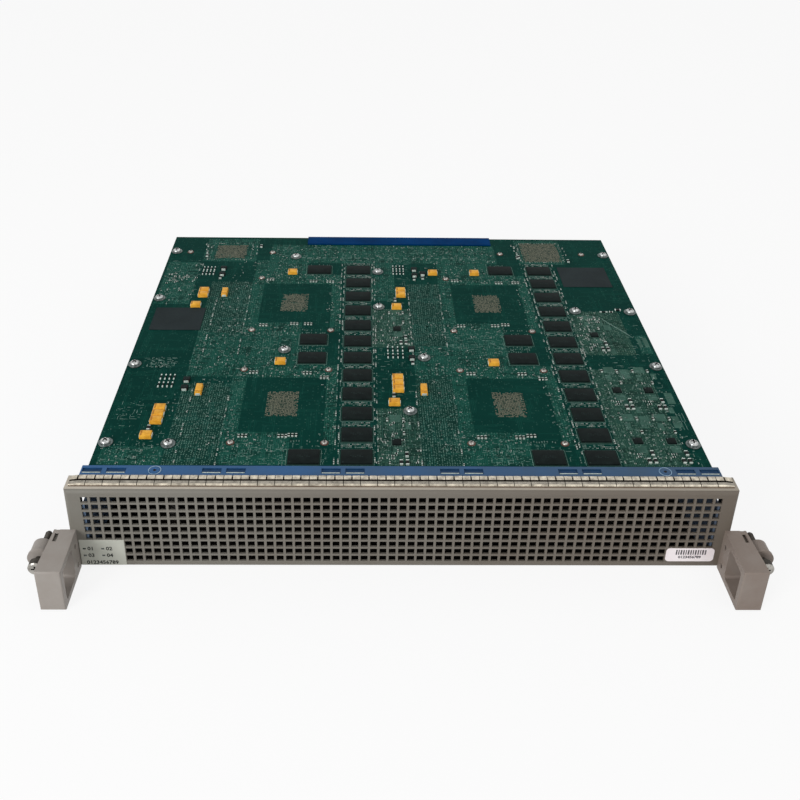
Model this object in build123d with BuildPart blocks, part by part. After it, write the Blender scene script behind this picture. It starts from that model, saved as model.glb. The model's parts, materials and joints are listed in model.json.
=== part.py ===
"""Router processor module: a rack card with a perforated faceplate, loop handles and a face-up main board.

Frame: +X to the right and +Y to the rear, seen from in front of the faceplate, and +Z up.
The origin is the middle of the footprint, level with the underside. All sizes are in millimetres.
"""
from build123d import *
import math
import os

os.makedirs("parts", exist_ok=True)

# Main sizes
board_width = 360.0
board_length = 304.0
board_thickness = 2.4
board_top_z = 55.0
face_overhang = 8.5
face_height = 56.0
sheet_thickness = 1.2
flange_depth = 12.8
bend_radius = 2.2
board_gap = 0.4
grip_reach = 32.5

# Places that everything else hangs on
face_y = (grip_reach - flange_depth - board_gap - board_length) / 2
board_front_y = face_y + flange_depth + board_gap
board_rear_y = board_front_y + board_length
board_under_z = board_top_z - board_thickness
board_middle_y = (board_front_y + board_rear_y) / 2
face_width = board_width + 2 * face_overhang
face_plane = Plane(origin=(0, face_y, 0), x_dir=(1, 0, 0), z_dir=(0, -1, 0))
board_plane = Plane.XY.offset(board_top_z)
under_plane = Plane.XY.offset(board_under_z)

# Grille in the faceplate
hole_pitch = 5.38
hole_size = 4.0
grille_side_margin = 8.0
grille_end_margin = 4.2
legend_columns = 4
legend_rows = 3
legend_margin = 1.4
overlay_thickness = 0.3

# Faceplate ears and the handles that they carry
handle_height = 27.8
handle_lift = 0.2
handle_inset = 3.9
handle_width = 12.1
handle_grip_width = 14.2
handle_post = 11.0
handle_grip = 4.0
handle_top_bar = 3.8
handle_bottom_bar = 3.5
handle_round = 1.0
window_round = 1.5
ear_slot_width = 2.2
ear_slot_depth = 9.3
ear_slot_offset = 9.7
ear_tab_length = 8.8
ear_inset_z = 1.5
rivet_radius = 1.5
rivet_clearance = 0.05
rivet_y = 4.6
rivet_heights = (5.5, 19.5)
rivet_sink = 0.6

# Captive screws in the handles' bosses
boss_offset = 17.4
boss_z = 20.0
boss_radius = 6.0
boss_back = 4.7
boss_length = 9.8
boss_web = 8.4
collar_radius = 6.6
collar_length = 1.6
scallop_clearance = 0.5
scallop_reach = 1.5
shank_radius = 2.0
screw_clearance = 0.08
screw_travel = 3.0
head_radius = 4.2
head_length = 5.0
head_chamfer = 0.7
tip_reach = 6.0
tip_chamfer = 0.6
ring_gap = 0.3
ring_thickness = 0.8
ring_radius = 3.4
neck_radius = 1.5
neck_play = 0.15

# Gasket and stiffening strips
gasket_start = 3.4
gasket_width = 9.0
gasket_rise = 2.0
gasket_sheet = 0.4
gasket_inset = 1.5
strip_depth = 8.6
strip_thickness = 1.0
strip_end_reach = 2.9
strip_slot_length = 11.0
strip_slot_width = 4.4
strip_slot_spacing = 13.7
strip_pair_inset = 18.75
strip_pairs = 6
strip_screw_radius = 3.1
strip_screw_rise = 0.5
strip_screw_x = (-141.0, 151.0)
rear_strip_width = 153.0
rear_strip_depth = 12.6
rear_strip_x = 7.8
rear_strip_thickness = 1.1

# Carrier tray under the board
tray_lip = 9.0
tray_flange = 12.0
tray_front_wall = 45.0
tray_front_gap = 0.3
tray_step = 25.0
tray_side_gap = 0.6
tray_rear_lip = 8.0
tray_tongue_inset = 9.4

# Fasteners
washer_radius = 4.7
washer_thickness = 0.8
pan_radius = 3.4
pan_height = 2.4
pan_taper = 18
screw_sides = 12
sink_screw_radius = 2.1
sink_screw_height = 1.5
sink_screw_taper = 15
sink_screw_sides = 8
edge_screw_inset = 5.0
standoff_width = 6.0

# Electronics on both faces of the board
processor_size = 42.0
processor_thickness = 3.0
sink_width = 66.0
sink_length = 90.0
sink_base = 5.0
sink_height = 41.0
fin_thickness = 1.2
fin_count = 11
fabric_chip_size = 31.0
fabric_chip_thickness = 2.5
rear_sink_width = 76.0
rear_sink_length = 34.0
rear_sink_height = 24.0
rear_sink_fins = 9
memory_width = 19.0
memory_length = 13.6
memory_height = 1.1
memory_pitch = 20.85
memory_count = 12
memory_first = 30.3
memory_offset = 47.2
side_memory_offset = 16.3
capacitor_length = 7.8
capacitor_width = 6.0
capacitor_height = 2.8
capacitor_gap = 0.3
turned_width = 4.8
turned_length = 10.5
pad_thickness = 0.4
converter_height = 11.0
converter_chamfer = 1.0
connector_width = 48.0
connector_gap = 4.5
connector_count = 3
connector_height = 21.0
connector_depth = 26.0
connector_wall = 2.0
connector_cavity = 14.0
power_width = 18.0
power_blades = 4
guide_size = 14.0
guide_length = 10.5
guide_bore_radius = 3.5
guide_bore_depth = 8.0
guide_x = 101.0

# Board layout: X from the centre line, Y behind the front plane of the face, on a board of the size drawn for
drawn_for = (360.0, 304.0)
processor_x = (-73.5, 70.2)
processor_y = (82.0, 208.2)
row_names = ("front", "rear")
side_names = ("left", "right")
sides = (-1, 1)
edge_screw_rows = {-1: (43.0, 125.5, 213.5, 290.0), 1: (43.0, 125.5, 197.0, 287.5)}
inner_screws = (
    (-77.0, 282.0), (-76.5, 144.0), (-138.0, 42.0), (19.0, 135.0), (7.0, 75.0), (134.5, 198.0),
)
column_screw_offset = 15.4
column_screw_y = (257.0, 202.5)
sink_screw_x = 28.0
sink_screw_y = (-38.4, 38.2)
fabric_chips = ((-130.2, 289.5), (123.9, 289.5))
fabric_screw_x = 33.6
side_memory_y = (30.3, 134.2, 157.4, 260.0)
flat_capacitors = (
    (-78.0, 255.0), (65.3, 255.0), (32.4, 255.0), (-78.2, 129.0), (65.7, 128.5),
    (-146.4, 203.4), (2.3, 202.0), (-152.5, 49.4), (-2.6, 83.2),
)
turned_capacitors = ((-127.3, 222.0), (-127.9, 96.0), (16.8, 97.0))
capacitor_stacks = (
    (-143.2, 221.5, 2), (6.0, 223.0, 2), (-149.2, 70.0, 3), (0.3, 104.0, 3),
)
inductors = (
    (-133.0, 260.5), (-133.0, 251.0), (17.9, 260.5), (17.9, 251.0), (24.4, 253.5),
    (-137.4, 107.0), (-137.4, 98.0), (10.8, 145.0), (10.8, 134.0),
)
inductor_size = 4.4
inductor_height = 2.0
controller_chips = (
    (142.2, 98.3), (162.8, 98.3), (142.6, 46.3), (162.9, 46.3), (141.8, 165.4), (1.7, 172.3), (-2.5, 44.2),
)
controller_size = 6.0
controller_height = 0.9
pad_places = {-1: (23.6, 184.4, 36.0, 30.6), 1: (28.0, 250.7, 38.0, 31.6)}
converter_inset = 30.0
light_pipe_insets = (7.1, 17.6)
light_pipe_heights = (13.8, 8.7)
light_pipe_size = (1.8, 1.2)
label_inset = 21.3
label_z = 9.8
label_width = 28.0
label_height = 9.8
label_round = 2.2


def behind_face(y):
    """Y in the part's frame of a place measured back from the face's front plane."""
    return face_y + y


def spread(x, y):
    """A layout place in the part's frame, at the same share of the board's width and length."""
    behind_edge = y - flange_depth - board_gap
    return x * board_width / drawn_for[0], board_front_y + behind_edge * board_length / drawn_for[1]


def on_board(places):
    """Layout places, spread over the board."""
    return [spread(x, y) for x, y in places]


# Handles and screws beside the face, and what is printed on it
handle_inner_x = face_width / 2 - handle_inset
handle_outer_x = handle_inner_x + handle_width
handle_grip_outer_x = handle_inner_x + handle_grip_width
ear_slot_x = handle_inner_x + ear_slot_offset
boss_x = handle_inner_x + boss_offset
label_x = face_width / 2 - label_inset
light_pipe_places = [(inset - face_width / 2, z) for z in light_pipe_heights for inset in light_pipe_insets]


# Faceplate: folded sheet with a square-hole grille, returns on all four sides and two ears
columns = math.floor((face_width - 2 * grille_side_margin - hole_size) / hole_pitch) + 1
rows = math.floor((face_height - 2 * grille_end_margin - hole_size) / hole_pitch) + 1
first_hole_x = -(columns - 1) * hole_pitch / 2
first_hole_z = face_height / 2 - (rows - 1) * hole_pitch / 2
label_left = label_x - label_width / 2 - hole_size / 2
label_top = label_z + label_height / 2 + hole_size / 2


def under_print(x, z, column, row):
    """Whether a grille place is left unpunched, behind the legend or the label."""
    behind_legend = column < legend_columns and row < legend_rows
    return behind_legend or (x > label_left and z < label_top)


hole_places = []
for column in range(columns):
    for row in range(rows):
        hole_x = first_hole_x + column * hole_pitch
        hole_z = first_hole_z + row * hole_pitch
        if not under_print(hole_x, hole_z, column, row):
            hole_places.append((hole_x, face_y, hole_z))

ear_middle_z = handle_lift + handle_height / 2
ear_height = handle_height - 2 * ear_inset_z
ear_outer_x = ear_slot_x + sheet_thickness / 2
ear_inner_x = face_width / 2 - bend_radius - sheet_thickness
rivet_places = [(face_y - rivet_y, handle_lift + height) for height in rivet_heights]

with BuildPart() as faceplate:
    with BuildSketch(face_plane):
        with Locations((0, face_height / 2)):
            Rectangle(face_width, face_height)
    extrude(amount=-flange_depth)
    fillet(faceplate.faces().sort_by(Axis.Y)[0].edges(), bend_radius)
    offset(amount=-sheet_thickness, openings=faceplate.faces().sort_by(Axis.Y)[-1])
    for side in sides:
        with BuildSketch(face_plane):
            with Locations((side * (ear_inner_x + ear_outer_x) / 2, ear_middle_z)):
                Rectangle(ear_outer_x - ear_inner_x, ear_height)
        extrude(amount=-sheet_thickness)
        with BuildSketch(face_plane):
            with Locations((side * ear_slot_x, ear_middle_z)):
                Rectangle(sheet_thickness, ear_height)
        extrude(amount=ear_tab_length)
    with BuildSketch(Plane.YZ):
        with Locations(*rivet_places):
            Circle(rivet_radius + rivet_clearance)
    extrude(amount=face_width, both=True, mode=Mode.SUBTRACT)
    with Locations(*hole_places):
        Box(hole_size, 3 * sheet_thickness, hole_size, mode=Mode.SUBTRACT)
faceplate.part.label = "faceplate"
export_step(faceplate.part, "parts/faceplate.step")

# Legend overlay on the unpunched corner, with four windows for the light pipes
legend_left = -handle_inner_x + legend_margin / 2
legend_right = first_hole_x + legend_columns * hole_pitch - hole_size / 2 - legend_margin / 4
legend_top = first_hole_z + legend_rows * hole_pitch - hole_size / 2 - legend_margin / 4
legend_bottom = bend_radius - legend_margin / 2
with BuildPart() as legend_overlay:
    with BuildSketch(face_plane):
        with Locations(((legend_left + legend_right) / 2, (legend_bottom + legend_top) / 2)):
            Rectangle(legend_right - legend_left, legend_top - legend_bottom)
        with Locations(*light_pipe_places):
            Rectangle(*light_pipe_size, mode=Mode.SUBTRACT)
    extrude(amount=overlay_thickness)
legend_overlay.part.label = "legend_overlay"
export_step(legend_overlay.part, "parts/legend_overlay.step")

# Light pipes: four small bars that show in the overlay's windows
with BuildPart() as light_pipes:
    with BuildSketch(face_plane):
        with Locations(*light_pipe_places):
            Rectangle(*light_pipe_size)
    extrude(amount=overlay_thickness)
light_pipes.part.label = "light_pipes"
export_step(light_pipes.part, "parts/light_pipes.step")

# Bar label, with nothing on it
with BuildPart() as bar_label:
    with BuildSketch(face_plane):
        with Locations((label_x, label_z)):
            RectangleRounded(label_width, label_height, label_round)
    extrude(amount=overlay_thickness)
bar_label.part.label = "bar_label"
export_step(bar_label.part, "parts/bar_label.step")

# Spring-finger gasket over the faceplate's top flange: an arched strip
gasket_half = gasket_width / 2
gasket_middle_y = behind_face(gasket_start) + gasket_half
with BuildPart() as gasket:
    with BuildSketch(Plane.YZ):
        with BuildLine():
            outer = ThreePointArc(
                (gasket_middle_y - gasket_half, face_height),
                (gasket_middle_y, face_height + gasket_rise),
                (gasket_middle_y + gasket_half, face_height),
            )
            inner = ThreePointArc(
                (gasket_middle_y + gasket_half - 2 * gasket_sheet, face_height),
                (gasket_middle_y, face_height + gasket_rise - gasket_sheet),
                (gasket_middle_y - gasket_half + 2 * gasket_sheet, face_height),
            )
            Line(outer @ 1, inner @ 0)
            Line(inner @ 1, outer @ 0)
        make_face()
    extrude(amount=face_width / 2 - gasket_inset, both=True)
gasket.part.label = "finger_gasket"
export_step(gasket.part, "parts/finger_gasket.step")

# Front stiffener: slotted strip on the board's front edge, a little wider than the board
strip_length = board_width + 2 * strip_end_reach
strip_pair_pitch = (face_width - 2 * strip_pair_inset) / (strip_pairs - 1)
strip_front_y = board_front_y - board_gap / 2
strip_slot_y = strip_front_y + strip_depth / 2
with BuildPart() as front_stiffener:
    with BuildSketch(board_plane):
        with Locations((0, strip_slot_y)):
            Rectangle(strip_length, strip_depth)
            with GridLocations(strip_pair_pitch, 0, strip_pairs, 1):
                with GridLocations(strip_slot_spacing, 0, 2, 1):
                    Rectangle(strip_slot_length, strip_slot_width, mode=Mode.SUBTRACT)
    extrude(amount=strip_thickness)
front_stiffener.part.label = "front_stiffener"
export_step(front_stiffener.part, "parts/front_stiffener.step")

# Flush screws of the front stiffener
with BuildPart() as stiffener_screws:
    with BuildSketch(board_plane.offset(strip_thickness)):
        with Locations(*[(x, strip_slot_y) for x in strip_screw_x]):
            RegularPolygon(strip_screw_radius, screw_sides)
    extrude(amount=strip_screw_rise)
stiffener_screws.part.label = "stiffener_screws"
export_step(stiffener_screws.part, "parts/stiffener_screws.step")

# Main board
with BuildPart() as main_board:
    with BuildSketch(under_plane):
        with Locations((0, board_middle_y)):
            Rectangle(board_width, board_length)
    extrude(amount=board_thickness)
main_board.part.label = "main_board"
export_step(main_board.part, "parts/main_board.step")

# Rear stiffener over the backplane connectors' pins
with BuildPart() as rear_stiffener:
    with BuildSketch(board_plane):
        with Locations((rear_strip_x, board_rear_y - rear_strip_depth / 2)):
            Rectangle(rear_strip_width, rear_strip_depth)
    extrude(amount=rear_strip_thickness)
rear_stiffener.part.label = "rear_stiffener"
export_step(rear_stiffener.part, "parts/rear_stiffener.step")

# Carrier tray: floor with a stepped tongue over the face's bottom flange, side walls that reach up to the
# face's back, and top flanges
tray_front_y = board_front_y
tray_wall_x = board_width / 2 - tray_side_gap
tray_step_y = board_front_y + tray_step
tray_wall_front_y = behind_face(sheet_thickness + tray_front_gap)
tray_wall_low_z = bend_radius + tray_front_gap
with BuildPart() as carrier_tray:
    with BuildSketch(Plane.XY):
        with Locations((0, (tray_front_y + board_rear_y) / 2)):
            Rectangle(2 * tray_wall_x, board_rear_y - tray_front_y)
    extrude(amount=sheet_thickness)
    with BuildSketch(Plane.XY.offset(sheet_thickness)):
        with Locations((0, tray_front_y - tray_lip / 2 + sheet_thickness / 2)):
            Rectangle(2 * (tray_wall_x - tray_tongue_inset), tray_lip + sheet_thickness)
    extrude(amount=sheet_thickness)
    for side in sides:
        with BuildSketch(Plane.YZ.offset(side * tray_wall_x)):
            with BuildLine():
                Polyline(
                    (tray_front_y, 0),
                    (board_rear_y, 0),
                    (board_rear_y, board_under_z),
                    (tray_step_y, board_under_z),
                    (tray_step_y - (board_under_z - tray_front_wall), tray_front_wall),
                    (tray_wall_front_y, tray_front_wall),
                    (tray_wall_front_y, tray_wall_low_z),
                    (tray_front_y, tray_wall_low_z),
                    close=True,
                )
            make_face()
        extrude(amount=-side * sheet_thickness)
        flange_start_y = tray_step_y + sheet_thickness
        with BuildSketch(under_plane):
            with Locations((side * (tray_wall_x - tray_flange / 2), (flange_start_y + board_rear_y) / 2)):
                Rectangle(tray_flange, board_rear_y - flange_start_y)
        extrude(amount=-sheet_thickness)
    with BuildSketch(Plane.XZ.offset(-board_rear_y)):
        with Locations((0, tray_rear_lip / 2)):
            Rectangle(2 * tray_wall_x, tray_rear_lip)
    extrude(amount=sheet_thickness)
carrier_tray.part.label = "carrier_tray"
export_step(carrier_tray.part, "parts/carrier_tray.step")

# Hexagonal standoffs between the tray's floor and the board
column_x = processor_x[0] + memory_offset
standoff_places = on_board(inner_screws)
standoff_places += [(spread(column_x, y)[0] + column_screw_offset, spread(column_x, y)[1]) for y in column_screw_y]
with BuildPart() as standoffs:
    with BuildSketch(Plane.XY.offset(sheet_thickness)):
        with Locations(*standoff_places):
            RegularPolygon(standoff_width / 2, 6, major_radius=False)
    extrude(amount=board_under_z - sheet_thickness)
standoffs.part.label = "standoffs"
export_step(standoffs.part, "parts/standoffs.step")

# Board screws with washers, along the tray's flanges and over the standoffs
edge_screw_x = board_width / 2 - edge_screw_inset
board_screw_places = [(side * edge_screw_x, spread(0, y)[1]) for side in sides for y in edge_screw_rows[side]]
board_screw_places += standoff_places
with BuildPart() as board_screws:
    with BuildSketch(board_plane):
        with Locations(*board_screw_places):
            RegularPolygon(washer_radius, screw_sides)
    extrude(amount=washer_thickness)
    with BuildSketch(board_plane.offset(washer_thickness)):
        with Locations(*board_screw_places):
            RegularPolygon(pan_radius, screw_sides)
    extrude(amount=pan_height, taper=pan_taper)
board_screws.part.label = "board_screws"
export_step(board_screws.part, "parts/board_screws.step")

# Heatsink screws: small heads round each processor and beside the two fabric chips
missing_corner = 1
sink_screws = []
for x in processor_x:
    for row, y in enumerate(processor_y):
        middle = spread(x, y)
        corners = [(middle[0] + side * sink_screw_x, middle[1] + step) for side in sides for step in sink_screw_y]
        if row == missing_corner:
            corners = corners[:-1]
        sink_screws += corners
for x, y in fabric_chips:
    middle = spread(x, y)
    sink_screws += [(middle[0] + side * fabric_screw_x, middle[1]) for side in sides]
with BuildPart() as heatsink_screws:
    with BuildSketch(board_plane):
        with Locations(*sink_screws):
            RegularPolygon(sink_screw_radius, sink_screw_sides)
    extrude(amount=sink_screw_height, taper=sink_screw_taper)
heatsink_screws.part.label = "heatsink_screws"
export_step(heatsink_screws.part, "parts/heatsink_screws.step")


def fin_outline(middle_x, top_z, width, height, fins):
    """Points of a heatsink's section, with its base at the top and its fins hanging down."""
    points = [(middle_x - width / 2, top_z), (middle_x + width / 2, top_z)]
    pitch = (width - fin_thickness) / (fins - 1)
    for index in range(fins):
        right = middle_x + width / 2 - index * pitch
        left = right - fin_thickness
        points += [(right, top_z - height), (left, top_z - height)]
        if index < fins - 1:
            points += [(left, top_z - sink_base), (right - pitch, top_z - sink_base)]
    return points


# Processors and their heatsinks under the board
processor_under_z = board_under_z - processor_thickness
for layout_x, side_name in zip(processor_x, side_names):
    for layout_y, row_name in zip(processor_y, row_names):
        x, y = spread(layout_x, layout_y)
        with BuildPart() as processor:
            with BuildSketch(under_plane):
                with Locations((x, y)):
                    Rectangle(processor_size, processor_size)
            extrude(amount=-processor_thickness)
        processor.part.label = f"processor_{row_name}_{side_name}"
        export_step(processor.part, f"parts/processor_{row_name}_{side_name}.step")

        with BuildPart() as heatsink:
            with BuildSketch(Plane.XZ.offset(-y)):
                with BuildLine():
                    outline = fin_outline(x, processor_under_z, sink_width, sink_height, fin_count)
                    Polyline(*outline, close=True)
                make_face()
            extrude(amount=sink_length / 2, both=True)
        heatsink.part.label = f"heatsink_{row_name}_{side_name}"
        export_step(heatsink.part, f"parts/heatsink_{row_name}_{side_name}.step")

# Fabric chips at the rear corners, with lower heatsinks
fabric_under_z = board_under_z - fabric_chip_thickness
for (x, y), side_name in zip(on_board(fabric_chips), side_names):
    with BuildPart() as fabric_chip:
        with BuildSketch(under_plane):
            with Locations((x, y)):
                Rectangle(fabric_chip_size, fabric_chip_size)
        extrude(amount=-fabric_chip_thickness)
    fabric_chip.part.label = f"fabric_chip_{side_name}"
    export_step(fabric_chip.part, f"parts/fabric_chip_{side_name}.step")

    with BuildPart() as rear_heatsink:
        with BuildSketch(Plane.XZ.offset(-y)):
            with BuildLine():
                outline = fin_outline(x, fabric_under_z, rear_sink_width, rear_sink_height, rear_sink_fins)
                Polyline(*outline, close=True)
            make_face()
        extrude(amount=rear_sink_length / 2, both=True)
    rear_heatsink.part.label = f"rear_heatsink_{side_name}"
    export_step(rear_heatsink.part, f"parts/rear_heatsink_{side_name}.step")

# Memory chips: a column of twelve beside each pair of processors, and four more beside each column
memory_rows = [memory_first + index * memory_pitch for index in range(memory_count)]
for x, side_name in zip(processor_x, side_names):
    with BuildPart() as memory_column:
        with BuildSketch(board_plane):
            with Locations(*on_board([(x + memory_offset, y) for y in memory_rows])):
                Rectangle(memory_width, memory_length)
        extrude(amount=memory_height)
    memory_column.part.label = f"memory_column_{side_name}"
    export_step(memory_column.part, f"parts/memory_column_{side_name}.step")

with BuildPart() as side_memory:
    with BuildSketch(board_plane):
        with Locations(*on_board([(x + side_memory_offset, y) for x in processor_x for y in side_memory_y])):
            Rectangle(memory_width, memory_length)
    extrude(amount=memory_height)
side_memory.part.label = "side_memory"
export_step(side_memory.part, "parts/side_memory.step")

# Tantalum capacitors: single, turned and in stacks side by side
stack_step = capacitor_width + capacitor_gap
stacked = []
for x, y, count in capacitor_stacks:
    middle = spread(x, y)
    stacked += [(middle[0], middle[1] + (index - (count - 1) / 2) * stack_step) for index in range(count)]
with BuildPart() as capacitors:
    with BuildSketch(board_plane):
        with Locations(*on_board(flat_capacitors) + stacked):
            Rectangle(capacitor_length, capacitor_width)
        with Locations(*on_board(turned_capacitors)):
            Rectangle(turned_width, turned_length)
    extrude(amount=capacitor_height)
capacitors.part.label = "tantalum_capacitors"
export_step(capacitors.part, "parts/tantalum_capacitors.step")

# Inductors of the small supplies
with BuildPart() as inductor_group:
    with BuildSketch(board_plane):
        with Locations(*on_board(inductors)):
            Rectangle(inductor_size, inductor_size)
    extrude(amount=inductor_height)
inductor_group.part.label = "inductors"
export_step(inductor_group.part, "parts/inductors.step")

# Supply controller chips
with BuildPart() as controllers:
    with BuildSketch(board_plane):
        with Locations(*on_board(controller_chips)):
            Rectangle(controller_size, controller_size)
    extrude(amount=controller_height)
controllers.part.label = "controller_chips"
export_step(controllers.part, "parts/controller_chips.step")

# Power converters under the board, with an insulating pad over the pins of each
for side, side_name in zip(sides, side_names):
    pad_inset, layout_y, pad_width, pad_length = pad_places[side]
    pad_x = side * (board_width / 2 - pad_inset)
    pad_y = spread(0, layout_y)[1]
    with BuildPart() as insulating_pad:
        with BuildSketch(board_plane):
            with Locations((pad_x, pad_y)):
                Rectangle(pad_width, pad_length)
        extrude(amount=pad_thickness)
    insulating_pad.part.label = f"insulating_pad_{side_name}"
    export_step(insulating_pad.part, f"parts/insulating_pad_{side_name}.step")

    with BuildPart() as converter:
        with BuildSketch(under_plane):
            with Locations((side * (board_width / 2 - converter_inset), pad_y)):
                Rectangle(pad_length, pad_length)
        extrude(amount=-converter_height)
        chamfer(converter.faces().sort_by(Axis.Z)[0].edges(), converter_chamfer)
    converter.part.label = f"power_converter_{side_name}"
    export_step(converter.part, f"parts/power_converter_{side_name}.step")

# Backplane connectors: shrouds that are open to the rear, in a row under the rear stiffener
connector_pitch = connector_width + connector_gap
connector_plane = Plane.XZ.offset(-board_rear_y)
connector_middle_z = board_under_z - connector_height / 2
for index in range(connector_count):
    x = rear_strip_x + (index - (connector_count - 1) / 2) * connector_pitch
    with BuildPart() as connector:
        with BuildSketch(connector_plane):
            with Locations((x, connector_middle_z)):
                Rectangle(connector_width, connector_height)
        extrude(amount=connector_depth)
        with BuildSketch(connector_plane):
            with Locations((x, connector_middle_z)):
                Rectangle(connector_width - 2 * connector_wall, connector_height - 2 * connector_wall)
        extrude(amount=connector_cavity, mode=Mode.SUBTRACT)
    connector.part.label = f"backplane_connector_{index + 1}"
    export_step(connector.part, f"parts/backplane_connector_{index + 1}.step")

# Power connector beside them, with a row of blade slots
power_x = rear_strip_x - (connector_count * connector_pitch + power_width) / 2
blade_pitch = connector_height / (power_blades + 1)
with BuildPart() as power_connector:
    with BuildSketch(connector_plane):
        with Locations((power_x, connector_middle_z)):
            Rectangle(power_width, connector_height)
    extrude(amount=connector_depth)
    with BuildSketch(connector_plane):
        with Locations((power_x, connector_middle_z)):
            with GridLocations(0, blade_pitch, 1, power_blades):
                Rectangle(power_width - 2 * connector_wall, blade_pitch / 2)
    extrude(amount=connector_cavity, mode=Mode.SUBTRACT)
power_connector.part.label = "power_connector"
export_step(power_connector.part, "parts/power_connector.step")

# Guide sockets that the chassis pins enter
for side, side_name in zip(sides, side_names):
    with BuildPart() as guide_socket:
        with BuildSketch(connector_plane):
            with Locations((side * guide_x, board_under_z - guide_size / 2)):
                Rectangle(guide_size, guide_size)
        extrude(amount=guide_length)
        with BuildSketch(connector_plane):
            with Locations((side * guide_x, board_under_z - guide_size / 2)):
                Circle(guide_bore_radius)
        extrude(amount=guide_bore_depth, mode=Mode.SUBTRACT)
    guide_socket.part.label = f"guide_socket_{side_name}"
    export_step(guide_socket.part, f"parts/guide_socket_{side_name}.step")

# Handles: cast loops with a slot for the faceplate's ear and a boss for the captive screw
handle_front_y = face_y - grip_reach
handle_top_z = handle_lift + handle_height
boss_back_y = face_y - boss_back
boss_front_y = boss_back_y - boss_length
window_front_y = handle_front_y + handle_grip
window_rear_y = face_y - handle_post
window_low_z = handle_lift + handle_bottom_bar
window_high_z = handle_top_z - handle_top_bar
for side, side_name in zip(sides, side_names):
    boss_plane = Plane(origin=(side * boss_x, boss_back_y, boss_z), x_dir=(1, 0, 0), z_dir=(0, -1, 0))
    with BuildPart() as handle:
        with BuildSketch(Plane.XY.offset(handle_lift)):
            with BuildLine():
                Polyline(
                    (side * handle_inner_x, face_y),
                    (side * handle_outer_x, face_y),
                    (side * handle_grip_outer_x, handle_front_y),
                    (side * handle_inner_x, handle_front_y),
                    close=True,
                )
            make_face()
        extrude(amount=handle_height)
        front_edges = handle.faces().sort_by(Axis.Y)[0].edges()
        fillet(front_edges, handle_round)
        with BuildSketch(Plane.YZ.offset(side * handle_inner_x)):
            with Locations(((window_front_y + window_rear_y) / 2, (window_low_z + window_high_z) / 2)):
                RectangleRounded(window_rear_y - window_front_y, window_high_z - window_low_z, window_round)
        extrude(amount=side * 2 * handle_grip_width, mode=Mode.SUBTRACT)
        with BuildSketch(boss_plane):
            Circle(boss_radius)
        extrude(amount=boss_length)
        with BuildSketch(boss_plane.offset(boss_length - collar_length)):
            Circle(collar_radius)
        extrude(amount=collar_length)
        with BuildSketch(boss_plane):
            with Locations((-side * (boss_x - handle_outer_x + sheet_thickness) / 2, 0)):
                Rectangle(boss_x - handle_outer_x + sheet_thickness, boss_web)
        extrude(amount=boss_length)
        with BuildSketch(boss_plane.offset(boss_length)):
            Circle(head_radius + scallop_clearance)
        extrude(amount=screw_travel + head_length + scallop_reach, mode=Mode.SUBTRACT)
        with BuildSketch(boss_plane):
            Circle(shank_radius + screw_clearance)
        extrude(amount=boss_length, mode=Mode.SUBTRACT)
        with BuildSketch(Plane.XY.offset(handle_top_z)):
            with Locations((side * ear_slot_x, face_y - ear_slot_depth / 2)):
                Rectangle(ear_slot_width, ear_slot_depth)
        extrude(amount=-handle_height, mode=Mode.SUBTRACT)
        with BuildSketch(Plane.YZ.offset(side * handle_inner_x)):
            with Locations(*rivet_places):
                Circle(rivet_radius + rivet_clearance)
        extrude(amount=side * handle_grip_width, mode=Mode.SUBTRACT)
    handle.part.label = f"handle_{side_name}"
    export_step(handle.part, f"parts/handle_{side_name}.step")

    with BuildPart() as rivets:
        with BuildSketch(Plane.YZ.offset(side * (handle_inner_x + rivet_sink))):
            with Locations(*rivet_places):
                Circle(rivet_radius)
        extrude(amount=side * (handle_width - 2 * rivet_sink))
    rivets.part.label = f"handle_rivets_{side_name}"
    export_step(rivets.part, f"parts/handle_rivets_{side_name}.step")

    # Captive screw, drawn from its head back to its tip, with a neck for the retaining ring
    head_back = boss_length + screw_travel
    head_front = head_back + head_length
    neck_front = -ring_gap + neck_play
    neck_back = -ring_gap - ring_thickness - neck_play
    tip = -boss_back - tip_reach
    with BuildPart() as captive_screw:
        with BuildSketch(Plane(origin=(side * boss_x, boss_back_y, boss_z), x_dir=(1, 0, 0), z_dir=(0, 0, 1))):
            with BuildLine():
                Polyline(
                    (0, -head_front),
                    (head_radius - head_chamfer, -head_front),
                    (head_radius, -head_front + head_chamfer),
                    (head_radius, -head_back),
                    (shank_radius, -head_back),
                    (shank_radius, -neck_front),
                    (neck_radius, -neck_front),
                    (neck_radius, -neck_back),
                    (shank_radius, -neck_back),
                    (shank_radius, -tip - tip_chamfer),
                    (shank_radius - tip_chamfer, -tip),
                    (0, -tip),
                    close=True,
                )
            make_face()
        revolve(axis=Axis((side * boss_x, boss_back_y, boss_z), (0, 1, 0)))
    captive_screw.part.label = f"captive_screw_{side_name}"
    export_step(captive_screw.part, f"parts/captive_screw_{side_name}.step")

    with BuildPart() as retaining_ring:
        with BuildSketch(boss_plane.offset(-ring_gap)):
            Circle(ring_radius)
            Circle(neck_radius + screw_clearance, mode=Mode.SUBTRACT)
        extrude(amount=-ring_thickness)
    retaining_ring.part.label = f"retaining_ring_{side_name}"
    export_step(retaining_ring.part, f"parts/retaining_ring_{side_name}.step")
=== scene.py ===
"""Router processor module: a perforated faceplate with loop handles and the populated board behind it.

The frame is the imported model, in metres, with +X to the right and +Y to the rear, seen from in front of
the faceplate, and +Z up. The classes below hold their sizes in millimetres: X from the centre line, Y
behind the face's front plane and Z above the underside. A finished piece is turned into metres once.
"""
from __future__ import annotations

import json
import logging
import math
import random
from collections.abc import Iterable, Iterator, Sequence
from dataclasses import dataclass, field
from enum import Enum

import bmesh
import bpy
from mathutils import Matrix, Vector

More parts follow.
